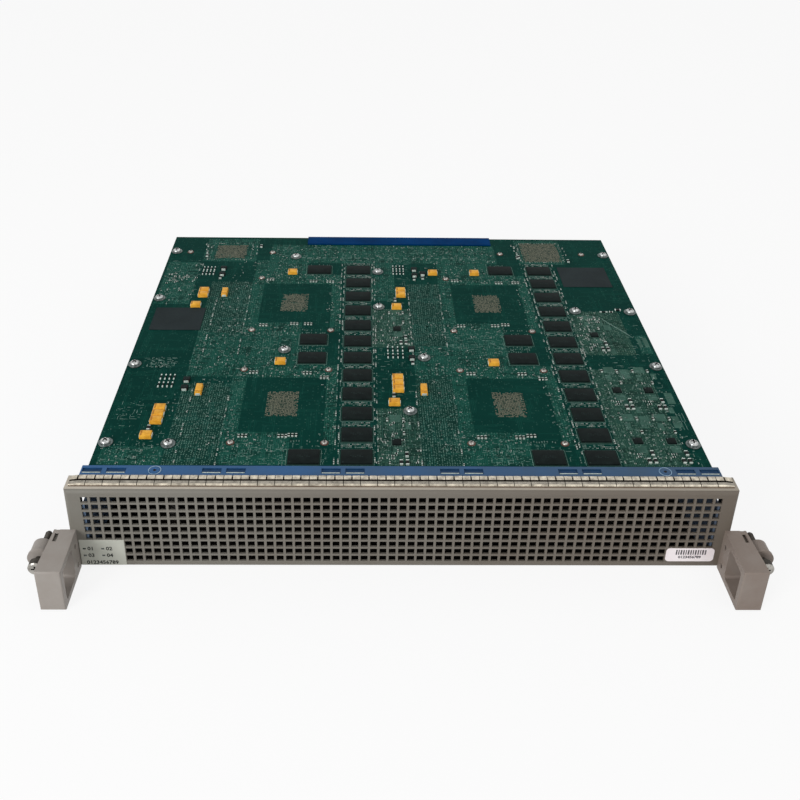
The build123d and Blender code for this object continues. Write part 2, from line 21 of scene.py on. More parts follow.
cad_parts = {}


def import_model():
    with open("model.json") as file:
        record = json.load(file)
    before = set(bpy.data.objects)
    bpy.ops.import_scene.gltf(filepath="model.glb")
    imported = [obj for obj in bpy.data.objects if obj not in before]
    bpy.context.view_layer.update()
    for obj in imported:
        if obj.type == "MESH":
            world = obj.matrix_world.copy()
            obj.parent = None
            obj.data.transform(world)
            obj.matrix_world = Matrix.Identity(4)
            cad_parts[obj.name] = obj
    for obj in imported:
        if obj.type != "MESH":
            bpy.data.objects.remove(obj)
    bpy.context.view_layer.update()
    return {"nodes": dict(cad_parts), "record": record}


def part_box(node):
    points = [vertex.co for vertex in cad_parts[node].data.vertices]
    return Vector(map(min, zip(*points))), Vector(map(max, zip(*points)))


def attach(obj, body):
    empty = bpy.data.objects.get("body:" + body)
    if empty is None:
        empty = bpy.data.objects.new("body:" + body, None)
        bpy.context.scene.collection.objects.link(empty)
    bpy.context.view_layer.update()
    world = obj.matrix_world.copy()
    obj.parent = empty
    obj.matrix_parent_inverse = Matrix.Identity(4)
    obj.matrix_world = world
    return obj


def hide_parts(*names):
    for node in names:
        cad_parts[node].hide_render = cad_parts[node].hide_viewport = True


BMesh = bmesh.types.BMesh
Mesh = bpy.types.Mesh
Node = bpy.types.Node
Socket = bpy.types.NodeSocket
Tree = bpy.types.NodeTree
Pair = tuple[float, float]
Three = tuple[float, float, float]
Rows = tuple[tuple[float, ...], ...]

LOG = logging.getLogger("router_module")
MM = 0.001
WELD_DISTANCE = 1e-6
SHARP_ANGLE = math.radians(35.0)
SOFT_EDGE_ANGLE = math.radians(40.0)
MODULE = "module"
FACE_NORMAL_TURN = Matrix.Rotation(math.radians(90.0), 4, "X")
# Half the module's width in metres, over which a finish may drift from light to dark: mostly painted light,
# lighter towards the lamp on the left, partly the surface's own uneven tone
DRIFT_REACH = 0.19
# The Mix node's setting and its sockets for two colours
COLOURS = {"data_type": "RGBA"}
SHARE, FIRST, SECOND, MIXED = 0, 6, 7, 2


def linear(hex_colour: str) -> tuple[float, float, float, float]:
    """Turns an sRGB hex colour into a linear one.

    Args:
        hex_colour: six hex digits after a hash sign.

    Returns:
        Red, green, blue and a full alpha.
    """
    channels = [int(hex_colour[index:index + 2], 16) / 255 for index in (1, 3, 5)]
    values = [c / 12.92 if c <= 0.04045 else ((c + 0.055) / 1.055) ** 2.4 for c in channels]
    return values[0], values[1], values[2], 1.0


def add_node(
    tree: Tree,
    kind: str,
    settings: dict[str, object] | None = None,
    inputs: dict[str | int, object] | None = None,
) -> Node:
    """Adds one node with its settings and links.

    Args:
        tree: the node tree of a material or of the world.
        kind: the node's type name.
        settings: properties to set on the node.
        inputs: a value, an output or a node, whose first output is meant, for each named input.

    Returns:
        The new node.
    """
    node = tree.nodes.new(kind)
    for name, value in (settings or {}).items():
        setattr(node, name, value)
    for socket, value in (inputs or {}).items():
        if isinstance(value, Node):
            value = value.outputs[0]
        if isinstance(value, Socket):
            tree.links.new(value, node.inputs[socket])
        else:
            node.inputs[socket].default_value = value
    return node


@dataclass(frozen=True)
class Finish:
    """A surface: the two colours that it varies between, its gloss and the marks of its making."""

    name: str
    dark: str
    light: str
    patch_mm: float = 14.0
    grain_mm: float = 0.5
    grain_depth_mm: float = 0.01
    roughness: float = 0.5
    roughness_spread: float = 0.08
    metallic: float = 0.0
    specular: float = 0.5
    coat: float = 0.0
    # Lighter to the left, darker to the right: mostly painted light, partly uneven tone
    painted_light_drift: float = 0.0
    stretch: Three = (1.0, 1.0, 1.0)

    def light_share(self, tree: Tree, place: Socket) -> Socket:
        """Gives the share of the lighter colour: soft patches, and a drift along X where there is one,
        lighter to the left: mostly painted light, partly the surface's own uneven tone.

        Args:
            tree: the material's node tree.
            place: object coordinates.

        Returns:
            The share's socket.
        """
        patches = add_node(tree, "ShaderNodeTexNoise", inputs={
            "Vector": place, "Scale": 1 / (self.patch_mm * MM), "Detail": 3.0, "Roughness": 0.6})
        share = add_node(tree, "ShaderNodeMapRange", inputs={
            "Value": patches, "From Min": 0.3, "From Max": 0.7})
        if self.painted_light_drift:
            apart = add_node(tree, "ShaderNodeSeparateXYZ", inputs={"Vector": place})
            half = 0.5 * (1 - abs(self.painted_light_drift))
            along = add_node(tree, "ShaderNodeMapRange", inputs={
                "Value": apart.outputs["X"], "From Min": -DRIFT_REACH, "From Max": DRIFT_REACH,
                "To Min": 0.5 + 0.5 * self.painted_light_drift, "To Max": 0.5 - 0.5 * self.painted_light_drift})
            share = add_node(tree, "ShaderNodeMath", {"operation": "MULTIPLY_ADD"}, {
                0: share, 1: 2 * half, 2: along})
            share = add_node(tree, "ShaderNodeMath", {"operation": "SUBTRACT", "use_clamp": True}, {
                0: share, 1: half})
        return share.outputs[0]

    def colour(self, tree: Tree, place: Socket) -> Socket:
        """Mixes the finish's two colours.

        Args:
            tree: the material's node tree.
            place: object coordinates.

        Returns:
            The colour socket.
        """
        return add_node(tree, "ShaderNodeMix", COLOURS, {
            SHARE: self.light_share(tree, place), FIRST: linear(self.dark),
            SECOND: linear(self.light)}).outputs[MIXED]

    def build(self) -> bpy.types.Material:
        """Makes the material, or gives back the one that was made before.

        Returns:
            The material.
        """
        if self.name in bpy.data.materials:
            return bpy.data.materials[self.name]
        material = bpy.data.materials.new(self.name)
        material.use_nodes = True
        tree = material.node_tree
        tree.nodes.clear()
        place = add_node(tree, "ShaderNodeTexCoord").outputs["Object"]
        stretched = add_node(tree, "ShaderNodeMapping", inputs={"Vector": place, "Scale": self.stretch})
        grain = add_node(tree, "ShaderNodeTexNoise", inputs={
            "Vector": stretched, "Scale": 1 / (self.grain_mm * MM), "Detail": 2.0})
        gloss = add_node(tree, "ShaderNodeMapRange", inputs={
            "Value": grain, "From Min": 0.25, "From Max": 0.75,
            "To Min": self.roughness - self.roughness_spread,
            "To Max": self.roughness + self.roughness_spread})
        bump = add_node(tree, "ShaderNodeBump", inputs={
            "Height": grain, "Distance": self.grain_depth_mm * MM, "Strength": 1.0})
        shader = add_node(tree, "ShaderNodeBsdfPrincipled", inputs={
            "Base Color": self.colour(tree, place), "Metallic": self.metallic, "Roughness": gloss,
            "Specular IOR Level": self.specular, "Coat Weight": self.coat, "Normal": bump})
        add_node(tree, "ShaderNodeOutputMaterial", inputs={"Surface": shader})
        return material


@dataclass(frozen=True)
class ZonedFinish(Finish):
    """A plate whose far part has other colours, beyond a distance along one axis."""

    axis: str = "Z"
    beyond_mm: float = 0.0
    far_dark: str = "#808080"
    far_light: str = "#a0a0a0"

    def colour(self, tree: Tree, place: Socket) -> Socket:
        """Mixes the near colours, and the far ones beyond the distance on either side.

        Args:
            tree: the material's node tree.
            place: object coordinates.

        Returns:
            The colour socket.
        """
        near = super().colour(tree, place)
        far = add_node(tree, "ShaderNodeMix", COLOURS, {
            SHARE: self.light_share(tree, place), FIRST: linear(self.far_dark),
            SECOND: linear(self.far_light)})
        apart = add_node(tree, "ShaderNodeSeparateXYZ", inputs={"Vector": place})
        distance = add_node(tree, "ShaderNodeMath", {"operation": "ABSOLUTE"}, {0: apart.outputs[self.axis]})
        beyond = add_node(tree, "ShaderNodeMath", {"operation": "GREATER_THAN"}, {
            0: distance, 1: self.beyond_mm * MM})
        return add_node(tree, "ShaderNodeMix", COLOURS, {
            SHARE: beyond, FIRST: near, SECOND: far.outputs[MIXED]}).outputs[MIXED]


@dataclass(frozen=True)
class SolderMask(Finish):
    """Green solder mask over copper: faint routing, capped vias and pads show through it."""

    block_colour: str = "#2f5f56"
    block_mm: float = 1.7
    block_reach: float = 0.36
    block_share: float = 0.06
    block_scatter: float = 0.9
    via_colour: str = "#5d7f72"
    via_mm: float = 1.6
    via_radius_mm: float = 0.3
    via_share: float = 0.1
    via_scatter: float = 0.8
    line_colour: str = "#1d544b"
    line_mm: float = 1.1
    line_width: float = 0.36
    line_share: float = 0.3
    line_runs: float = 0.16

    def colour(self, tree: Tree, place: Socket) -> Socket:
        """Lays routing lines, pads and vias over the green.

        Args:
            tree: the material's node tree.
            place: object coordinates.

        Returns:
            The colour socket.
        """
        base = super().colour(tree, place)
        apart = add_node(tree, "ShaderNodeSeparateXYZ", inputs={"Vector": place})
        for axis, across in (("X", (1.0, self.line_runs, 1.0)), ("Y", (self.line_runs, 1.0, 1.0))):
            steps = add_node(tree, "ShaderNodeMath", {"operation": "MULTIPLY"}, {
                0: apart.outputs[axis], 1: 1 / (self.line_mm * MM)})
            part = add_node(tree, "ShaderNodeMath", {"operation": "FRACT"}, {0: steps})
            line = add_node(tree, "ShaderNodeMath", {"operation": "LESS_THAN"}, {0: part, 1: self.line_width})
            runs = add_node(tree, "ShaderNodeMapping", inputs={"Vector": place, "Scale": across})
            broken = add_node(tree, "ShaderNodeTexNoise", inputs={
                "Vector": runs, "Scale": 1 / (3.2 * self.line_mm * MM), "Detail": 1.0})
            kept = add_node(tree, "ShaderNodeMath", {"operation": "GREATER_THAN"}, {
                0: broken, 1: 0.72 - 0.4 * self.line_share})
            both = add_node(tree, "ShaderNodeMath", {"operation": "MULTIPLY"}, {0: line, 1: kept})
            base = add_node(tree, "ShaderNodeMix", COLOURS, {
                SHARE: both, FIRST: base, SECOND: linear(self.line_colour)}).outputs[MIXED]
        marks = (
            ("CHEBYCHEV", self.block_mm, self.block_reach, self.block_share, self.block_scatter,
             self.block_colour),
            ("EUCLIDEAN", self.via_mm, self.via_radius_mm / self.via_mm, self.via_share, self.via_scatter,
             self.via_colour),
        )
        for metric, pitch_mm, reach, share, scatter, hex_colour in marks:
            cells = add_node(tree, "ShaderNodeTexVoronoi", {"voronoi_dimensions": "2D", "distance": metric}, {
                "Vector": place, "Scale": 1 / (pitch_mm * MM), "Randomness": scatter})
            inside = add_node(tree, "ShaderNodeMath", {"operation": "LESS_THAN"}, {0: cells, 1: reach})
            draw = add_node(tree, "ShaderNodeSeparateColor", inputs={"Color": cells.outputs["Color"]})
            chosen = add_node(tree, "ShaderNodeMath", {"operation": "GREATER_THAN"}, {
                0: draw.outputs["Red"], 1: 1 - share})
            strength = add_node(tree, "ShaderNodeMapRange", inputs={
                "Value": draw.outputs["Green"], "To Min": 0.35, "To Max": 1.0})
            shown = add_node(tree, "ShaderNodeMath", {"operation": "MULTIPLY"}, {0: inside, 1: chosen})
            faded = add_node(tree, "ShaderNodeMath", {"operation": "MULTIPLY"}, {0: shown, 1: strength})
            base = add_node(tree, "ShaderNodeMix", COLOURS, {
                SHARE: faded, FIRST: base, SECOND: linear(hex_colour)}).outputs[MIXED]
        return base


# Powder coat over steel and cast zinc: a fine orange-peel grain, drawn coarse enough to show
# Above Z 55.95, on the top flange and the top of its bend, the colours are lighter: a painted highlight where
# the fold catches the light
FACE_COAT = ZonedFinish("grey_powder_coat_sheet_painted_top_highlight", "#645a50", "#76746d", 40, 0.7, 0.02, 0.5, 0.07,
                        specular=0.3, painted_light_drift=0.75, axis="Z", beyond_mm=55.95, far_dark="#928a7e",
                        far_light="#b9b1a4")
CAST_COAT = Finish("grey_powder_coat_casting", "#7f7269", "#96908a", 14, 0.8, 0.03, 0.48, 0.08, specular=0.3,
                   painted_light_drift=0.7)
# Blue-passivated zinc plate: cold blue metal with soft cloudy patches and fine brushing along X
BLUE_ZINC = Finish("blue_zinc_plate_strip", "#2f4659", "#21578b", 22, 0.6, 0.006, 0.42, 0.08, 0.2,
                   specular=0.3, painted_light_drift=0.7, stretch=(0.12, 1.0, 1.0))
# The tray's walls are blue zinc plate, their pale blue partly painted light on the inner faces; between the
# walls, floor and all, it is near black: painted shade inside the closed module
TRAY_ZINC = ZonedFinish("blue_zinc_tray_painted_shade_inside", "#141210", "#1e1a17", 30, 0.7, 0.006, 0.5, 0.1, 0.1,
                        specular=0.15, painted_light_drift=0.7, stretch=(1.0, 0.12, 1.0), axis="X", beyond_mm=178.1,
                        far_dark="#474e59", far_light="#7289a6")
# The same plate in shade, and a pale ring round a flush screw, a painted highlight on its rim
POCKET_ZINC = Finish("blue_zinc_plate_pocket", "#14304c", "#1c3f63", 8, 0.6, 0.006, 0.5, 0.06, 0.1,
                     specular=0.15)
RING_ZINC = Finish("blue_zinc_screw_ring_painted_highlight", "#5f86a8", "#a6bccb", 3, 0.5, 0.004, 0.3, 0.06, 0.4)
# Dyed aluminium: a deep even blue with no glare
DEEP_BLUE = Finish("deep_blue_anodised_bar", "#002b55", "#00386c", 20, 0.4, 0.004, 0.6, 0.06, specular=0.02,
                   stretch=(0.15, 1.0, 1.0))
# A dull black block with a coarse grain in each side return: painted shade behind the holes near the sides
RETURN_SHADE = Finish("black_painted_shade_strip", "#171614", "#22201d", 2, 0.5, 0.05, 0.8, 0.05, specular=0.1)
# Dark steel, half dull: painted shade on the captive screws behind the bright front of their heads, and on
# the handles' rivets, so that they read as shaded holes
SHADED_STEEL = Finish("steel_in_painted_shade", "#36332f", "#4d4943", 2, 0.3, 0.006, 0.45, 0.06, 0.5,
                     specular=0.3)
# Tin plate on spring strip: bright and uneven on the fingers; painted shade, greyer in the trough and dark in
# the crease
SPRING_TIN = Finish("tin_plated_spring_strip", "#8f887b", "#e6dcc8", 3.4, 0.5, 0.01, 0.3, 0.1, 0.75,
                    stretch=(0.4, 1.0, 1.0))
TIN_SHADE = Finish("tin_plated_trough_painted_shade", "#79746b", "#aaa498", 3, 0.5, 0.01, 0.3, 0.1, 0.75)
SLIT_SHADE = Finish("shaded_steel_crease", "#16130f", "#2b2620", 4, 0.5, 0.004, 0.6, 0.05, 0.1, specular=0.1)
# Painted shadow: a dull brown line in front of the gasket, where its curled front edge casts shade
EDGE_SHADOW = Finish("brown_painted_shadow_line", "#5d4d40", "#756556", 6, 0.5, 0.01, 0.6, 0.05, specular=0.15)
# Zinc and nickel plate on fasteners: bright heads, greyer washers, a shaded recess, plain steel rings
SCREW_BRIGHT = Finish("bright_zinc_screw", "#8b8f90", "#cfd1ce", 2.2, 0.35, 0.006, 0.24, 0.08, 0.9)
WASHER_GREY = Finish("grey_zinc_washer", "#3b4444", "#77807e", 1.8, 0.4, 0.006, 0.36, 0.08, 0.8)
SINK_HEAD = Finish("nickel_screw_head", "#77736f", "#c4bfb8", 0.9, 0.3, 0.006, 0.32, 0.08, 0.8)
RECESS_DARK = Finish("shaded_screw_recess", "#141415", "#262627", 1, 0.3, 0.004, 0.6, 0.05, specular=0.1)
NICKEL = Finish("nickel_plated_steel", "#8f8c86", "#bcb9b2", 4, 0.4, 0.006, 0.26, 0.07, 0.95)
PLAIN_STEEL = Finish("plain_steel", "#77726b", "#918c84", 4, 0.4, 0.006, 0.42, 0.07, 0.7)
# Metal on the board: reddish copper rings, pale tin on the parts' ends, gold on the contacts
COPPER_PAD = Finish("copper_annular_pad", "#4f332b", "#6f493d", 1.4, 0.3, 0.004, 0.5, 0.08, 0.3, specular=0.2)
SOLDER = Finish("tinned_end", "#a9b8b0", "#dfe9e2", 1.2, 0.3, 0.006, 0.35, 0.08, 0.3)
PART_DULL = Finish("dull_solder", "#324b44", "#6f8b82", 1.2, 0.3, 0.006, 0.5, 0.08, 0.1, specular=0.1)
GOLD_CONTACT = Finish("gold_flashed_contact", "#a8853c", "#d3ad5c", 2, 0.3, 0.003, 0.3, 0.06, 0.9)
# Black moulded epoxy: matt, with a faint grain from the mould, green at the substrate, grey in the marking
PACKAGE = Finish("black_moulded_epoxy", "#0b1212", "#141d1c", 5, 0.3, 0.008, 0.6, 0.06, specular=0.06)
PACKAGE_EDGE = Finish("package_substrate", "#1a2c28", "#2d4039", 1.2, 0.4, 0.006, 0.6, 0.06, specular=0.08)
PACKAGE_MARK = Finish("faint_laser_marking", "#1f2a29", "#2a3534", 1, 0.3, 0.002, 0.7, 0.05, specular=0.05)
# Dull black film, potting, ferrite and the glazed and ceramic bodies of chip parts
PAD_FILM = Finish("black_insulating_film", "#1c2426", "#242d2f", 22, 0.8, 0.006, 0.62, 0.06, specular=0.07)
CONVERTER = Finish("black_potted_module", "#15171a", "#202326", 9, 0.4, 0.01, 0.55, 0.06, specular=0.2)
FERRITE = Finish("dark_ferrite", "#070909", "#121516", 2, 0.3, 0.012, 0.6, 0.06, specular=0.1)
PART_BODY = Finish("chip_capacitor_ceramic", "#151410", "#28231c", 1.6, 0.3, 0.004, 0.5, 0.08, specular=0.1)
PART_DARK = Finish("chip_resistor_glaze", "#0a0d0d", "#151818", 1.6, 0.3, 0.004, 0.4, 0.08, specular=0.1)
# Yellow moulded epoxy of tantalum capacitors, and the darker band at their positive end
TANTALUM = Finish("yellow_tantalum_epoxy", "#cf8f24", "#f0b340", 3.5, 0.3, 0.008, 0.42, 0.06, specular=0.2)
TANTALUM_BAND = Finish("tantalum_polarity_band", "#99611a", "#b17527", 2, 0.3, 0.004, 0.45, 0.05,
                       specular=0.2)
# Flat printed ink, smooth label and overlay film, and small dark windows with a glassy face
SILK = Finish("white_board_print", "#4d6f65", "#86a198", 2, 0.3, 0.002, 0.7, 0.05, specular=0.1)
LEGEND = Finish("pale_legend_overlay", "#aeafa5", "#bcbdb3", 16, 0.4, 0.004, 0.5, 0.06, specular=0.25)
LABEL = Finish("coated_white_label", "#f0e6e8", "#fbf4f5", 10, 0.4, 0.003, 0.4, 0.05, specular=0.35)
INK = Finish("dark_ink", "#161717", "#2c2d2c", 2, 0.3, 0.002, 0.6, 0.05, specular=0.1)
BAR_INK = Finish("grey_bar_ink", "#4a474a", "#6e6a6e", 2, 0.3, 0.002, 0.6, 0.05, specular=0.1)
LIGHT_PIPE = Finish("clear_light_pipe", "#232a26", "#39423c", 1, 0.3, 0.003, 0.15, 0.04,
                    specular=0.6, coat=0.5)
# Aluminium and nickel below the board: black fins, grey cast sockets, satin lids, cream polymer housings
BLACK_ANODISED = Finish("black_anodised_aluminium", "#120e0d", "#1d1817", 12, 0.5, 0.006, 0.45, 0.08, 0.2,
                        specular=0.2, stretch=(1.0, 0.1, 1.0))
CAST_METAL = Finish("die_cast_aluminium", "#8d8d8a", "#a9a9a5", 6, 0.5, 0.02, 0.48, 0.08, 0.8)
NICKEL_LID = Finish("nickel_plated_lid", "#8e8f90", "#a9aaab", 12, 0.5, 0.004, 0.35, 0.07, 0.9)
CONNECTOR = Finish("glass_filled_polymer", "#bdb7a6", "#cdc8b9", 9, 0.4, 0.012, 0.5, 0.06, specular=0.35)
# Solder mask, from dark and bare, through routed and drilled, to olive and to pale over poured copper
MASK = SolderMask("green_solder_mask", "#012f29", "#04362f", 46, 0.9, 0.004, 0.6, 0.08, specular=0.025,
                  block_colour="#1a463e", line_colour="#0d4138", via_colour="#3c6155")
MASK_ROUTED = SolderMask("green_mask_routed", "#032e27", "#083a31", 12, 0.9, 0.006, 0.55, 0.08, specular=0.04,
                         block_share=0.32, via_share=0.4, line_share=0.6, line_colour="#185246",
                         block_colour="#235349", via_colour="#6a9185")
MASK_VIAS = SolderMask("green_mask_via_field", "#042d26", "#08362e", 14, 0.9, 0.006, 0.55, 0.08,
                       specular=0.04, block_share=0.12, block_mm=2.2, via_share=0.8, via_mm=1.45,
                       via_radius_mm=0.33, via_scatter=0.4, line_share=0.3, line_colour="#174a41",
                       block_colour="#214d43", via_colour="#688d80")
MASK_OLIVE = SolderMask("olive_mask_routed", "#0d2a24", "#183b31", 10, 0.9, 0.006, 0.55, 0.08, specular=0.04,
                        block_share=0.36, via_share=0.4, line_share=0.6, line_colour="#2b5146",
                        block_colour="#335447", via_colour="#748f80")
COPPER_POUR = SolderMask("green_mask_over_copper", "#2b4c42", "#42675b", 9, 0.9, 0.006, 0.5, 0.08,
                         specular=0.06, block_share=0.1, block_colour="#4b6f62", via_share=0.2,
                         via_colour="#638478", line_share=0.1, line_colour="#37584e")
# Under each processor the mask is olive, and the tinned vias in it are tan
BALL_BASE = SolderMask("olive_mask_under_balls", "#1d3028", "#2c3d34", 5, 0.6, 0.006, 0.55, 0.08,
                       specular=0.05, block_share=0.5, block_mm=1.1, block_colour="#3c463a",
                       via_share=0.6, via_mm=1.0, via_radius_mm=0.26, via_colour="#5d6053", line_share=0.1)
BALL_TILE = Finish("tinned_via_tile", "#42483d", "#8f8b78", 1.1, 0.3, 0.004, 0.5, 0.08, specular=0.1)

SLOT_FINISHES = {
    "tray_zinc": TRAY_ZINC, "face_paint": FACE_COAT, "legend_print": LEGEND, "light_pipe": LIGHT_PIPE,
    "label_paper": LABEL, "gasket_metal": SPRING_TIN, "stiffener_zinc": BLUE_ZINC,
    "stiffener_screw_zinc": BLUE_ZINC, "board_mask": MASK, "rear_strip_blue": DEEP_BLUE,
    "screw_steel": SCREW_BRIGHT, "sink_screw_steel": NICKEL, "captive_steel": NICKEL,
    "ring_steel": PLAIN_STEEL, "rivet_steel": SHADED_STEEL, "handle_paint": CAST_COAT,
    "standoff_steel": NICKEL, "sink_aluminium": BLACK_ANODISED, "processor_lid": NICKEL_LID,
    "chip_epoxy": PACKAGE, "tantalum_yellow": TANTALUM, "ferrite": FERRITE, "pad_film": PAD_FILM,
    "converter_case": CONVERTER, "connector_plastic": CONNECTOR, "socket_metal": CAST_METAL,
}


def placed(name: str, data: bpy.types.ID) -> bpy.types.Object:
    """Makes an object and puts it in the scene.

    Args:
        name: the object's name.
        data: its mesh, curve, lamp or camera.

    Returns:
        The object.
    """
    item = bpy.data.objects.new(name, data)
    bpy.context.scene.collection.objects.link(item)
    return item


def finish_piece(
    name: str,
    shape: BMesh,
    finishes: Sequence[Finish],
    slot: str,
    body: str = MODULE,
    replaces: Sequence[str] = (),
) -> None:
    """Turns a shape in millimetres into a piece of the model.

    Args:
        name: the piece's name.
        shape: the bmesh, in millimetres and in its place. It is used up.
        finishes: a finish for each material index in the shape.
        slot: the record's material slot. It is not used.
        body: the body that the piece moves with.
        replaces: the CAD nodes that it stands for.
    """
    bmesh.ops.recalc_face_normals(shape, faces=shape.faces)
    bmesh.ops.scale(shape, vec=(MM, MM, MM), verts=shape.verts)
    mesh = bpy.data.meshes.new(name)
    shape.to_mesh(mesh)
    shape.free()
    for finish in finishes:
        mesh.materials.append(finish.build())
    mesh.polygons.foreach_set("use_smooth", [True] * len(mesh.polygons))
    mesh.set_sharp_from_angle(angle=SHARP_ANGLE)
    piece = placed(name, mesh)
    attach(piece, body)
    if replaces:
        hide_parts(*replaces)
    LOG.info("%s: %d faces on %s", name, len(mesh.polygons), body)


def pattern_of(shape: BMesh) -> Mesh:
    """Keeps a small shape as a mesh that can be stamped many times.

    Args:
        shape: the shape. It is used up.

    Returns:
        The mesh.
    """
    bmesh.ops.recalc_face_normals(shape, faces=shape.faces)
    mesh = bpy.data.meshes.new("pattern")
    shape.to_mesh(mesh)
    shape.free()
    return mesh


def stamp(target: BMesh, pattern: Mesh, places: Iterable[Matrix]) -> None:
    """Adds a copy of a pattern to a shape at each place.

    Args:
        target: the shape that takes the copies.
        pattern: the mesh to copy.
        places: a transform for each copy.
    """
    for place in places:
        copy = pattern.copy()
        copy.transform(place)
        target.from_mesh(copy)
        bpy.data.meshes.remove(copy)


def join(target: BMesh, part: BMesh, *places: Matrix) -> None:
    """Adds one part to a shape, as it is or at each given place.

    Args:
        target: the shape that takes it.
        part: what is added. It is used up.
        places: where it goes.
    """
    stamp(target, pattern_of(part), places or [Matrix.Identity(4)])


def at(x: float, y: float, z: float, turn: float = 0.0) -> Matrix:
    """Places a pattern at a point, turned about Z by an angle in degrees."""
    return Matrix.Translation((x, y, z)) @ Matrix.Rotation(math.radians(turn), 4, "Z")


def shift(shape: BMesh, x: float, y: float, z: float) -> BMesh:
    """Moves a shape and gives it back."""
    bmesh.ops.translate(shape, verts=shape.verts, vec=(x, y, z))
    return shape


def block(
    width: float,
    length: float,
    height: float,
    bevel: float = 0.0,
    ends: float = 0.0,
    body_index: int = 0,
    end_index: int = 1,
) -> BMesh:
    """Makes a moulded block that stands on Z 0, centred on X and Y.

    Args:
        width: its size along X.
        length: its size along Y.
        height: its size along Z.
        bevel: the width of its rounded upper edges.
        ends: the length along X of a metal end on each side.
        body_index: the material index of the body.
        end_index: the material index of the ends.

    Returns:
        The shape.
    """
    shape = bmesh.new()
    bmesh.ops.create_cube(shape, size=1.0)
    bmesh.ops.scale(shape, vec=(width, length, height), verts=shape.verts)
    bmesh.ops.translate(shape, vec=(0.0, 0.0, height / 2), verts=shape.verts)
    if ends:
        for sign in (-1, 1):
            bmesh.ops.bisect_plane(
                shape, geom=shape.verts[:] + shape.edges[:] + shape.faces[:],
                plane_co=(sign * (width / 2 - ends), 0.0, 0.0), plane_no=(1.0, 0.0, 0.0))
    if bevel:
        upper = [edge for edge in shape.edges if any(vert.co.z > height / 2 for vert in edge.verts)]
        upper = [edge for edge in upper if len(edge.link_faces) == 2 and edge.calc_face_angle() > 1.0]
        bmesh.ops.bevel(shape, geom=upper, offset=bevel, offset_type="OFFSET", segments=2, profile=0.5,
                        affect="EDGES", material=-1)
    for face in shape.faces:
        outer = abs(face.calc_center_median().x) > width / 2 - ends
        face.material_index = end_index if ends and outer else body_index
    return shape


def turned(profile: Sequence[tuple[float, float]], steps: int, index: int = 0) -> BMesh:
    """Turns a profile of (radius, height) points about the Z axis.

    Args:
        profile: points from the axis at one end to the axis at the other.
        steps: how many flat sides the full turn has.
        index: the material index.

    Returns:
        The closed shape.
    """
    shape = bmesh.new()
    verts = [shape.verts.new((radius, 0.0, height)) for radius, height in profile]
    edges = [shape.edges.new(pair) for pair in zip(verts, verts[1:])]
    bmesh.ops.spin(shape, geom=verts + edges, cent=(0.0, 0.0, 0.0), axis=(0.0, 0.0, 1.0),
                   angle=math.tau, steps=steps, use_merge=True)
    bmesh.ops.remove_doubles(shape, verts=shape.verts, dist=WELD_DISTANCE)
    for face in shape.faces:
        face.material_index = index
    return shape


def disc(radius: float, top: float, steps: int, index: int, under: float = 0.0) -> BMesh:
    """Makes a round plate about the Z axis.

    Args:
        radius: its radius.
        top: the height of its upper side.
        steps: how many flat sides it has.
        index: the material index.
        under: the height of its lower side.

    Returns:
        The shape.
    """
    return turned(((0.0, top), (radius, top), (radius, under), (0.0, under)), steps, index)


@dataclass(frozen=True)
class Solid:
    """The box round one solid of a CAD node, in millimetres."""

    low: Vector
    high: Vector

    @property
    def size(self) -> Vector:
        """Gives its width, length and height."""
        return self.high - self.low

    @property
    def middle(self) -> Vector:
        """Gives its middle."""
        return (self.low + self.high) / 2

    def foot(self, turn: float = 0.0, x: float = 0.0, y: float = 0.0, z: float = 0.0) -> Matrix:
        """Places a pattern on the middle of its underside, or off it, turned by an angle in degrees."""
        return at(self.middle.x + x, self.middle.y + y, self.low.z + z, turn)


def solid_boxes(node: bpy.types.Object) -> list[Solid]:
    """Finds the box of each separate solid in a CAD node.

    Args:
        node: the node's object.

    Returns:
        The solids' boxes, from front to rear.
    """
    shape = bmesh.new()
    shape.from_mesh(node.data)
    bmesh.ops.remove_doubles(shape, verts=shape.verts, dist=WELD_DISTANCE)
    left = set(shape.verts)
    boxes = []
    while left:
        open_verts = [left.pop()]
        group = list(open_verts)
        while open_verts:
            vert = open_verts.pop()
            for edge in vert.link_edges:
                other = edge.other_vert(vert)
                if other in left:
                    left.discard(other)
                    open_verts.append(other)
                    group.append(other)
        low, high = (Vector([pick(vert.co[axis] for vert in group) / MM for axis in range(3)])
                     for pick in (min, max))
        boxes.append(Solid(low, high))
    shape.free()
    return sorted(boxes, key=lambda box: (round(box.low.y, 2), round(box.low.x, 2)))


def cut(shape: BMesh, cutter: BMesh) -> BMesh:
    """Cuts one closed shape out of another.

    Args:
        shape: the shape that is cut. It is used up.
        cutter: what is taken out. It is used up.

    Returns:
        The cut shape.
    """
    objects = []
    for part in (shape, cutter):
        mesh = pattern_of(part)
        for finish in (SCREW_BRIGHT, RECESS_DARK):
            mesh.materials.append(finish.build())
        objects.append(placed("cutting", mesh))
    modifier = objects[0].modifiers.new("cut", "BOOLEAN")
    modifier.object = objects[1]
    modifier.operation = "DIFFERENCE"
    modifier.solver = "EXACT"
    # The cutter's two bars overlap
    modifier.use_self = True
    result = bmesh.new()
    result.from_object(objects[0], bpy.context.evaluated_depsgraph_get())
    for part in objects:
        mesh = part.data
        bpy.data.objects.remove(part)
        bpy.data.meshes.remove(mesh)
    return result


def cross_cutter(reach: float, width: float, top: float, depth: float) -> BMesh:
    """Makes the cross of a driver's tip, pointing down from a height.

    Args:
        reach: the length of each bar of the cross.
        width: the width of each bar.
        top: the height where it starts.
        depth: how deep it goes.

    Returns:
        The cutter, with the recess finish.
    """
    shape = bmesh.new()
    for size in ((reach, width), (width, reach)):
        join(shape, block(*size, 2 * depth, body_index=1), at(0.0, 0.0, top - depth))
    return shape


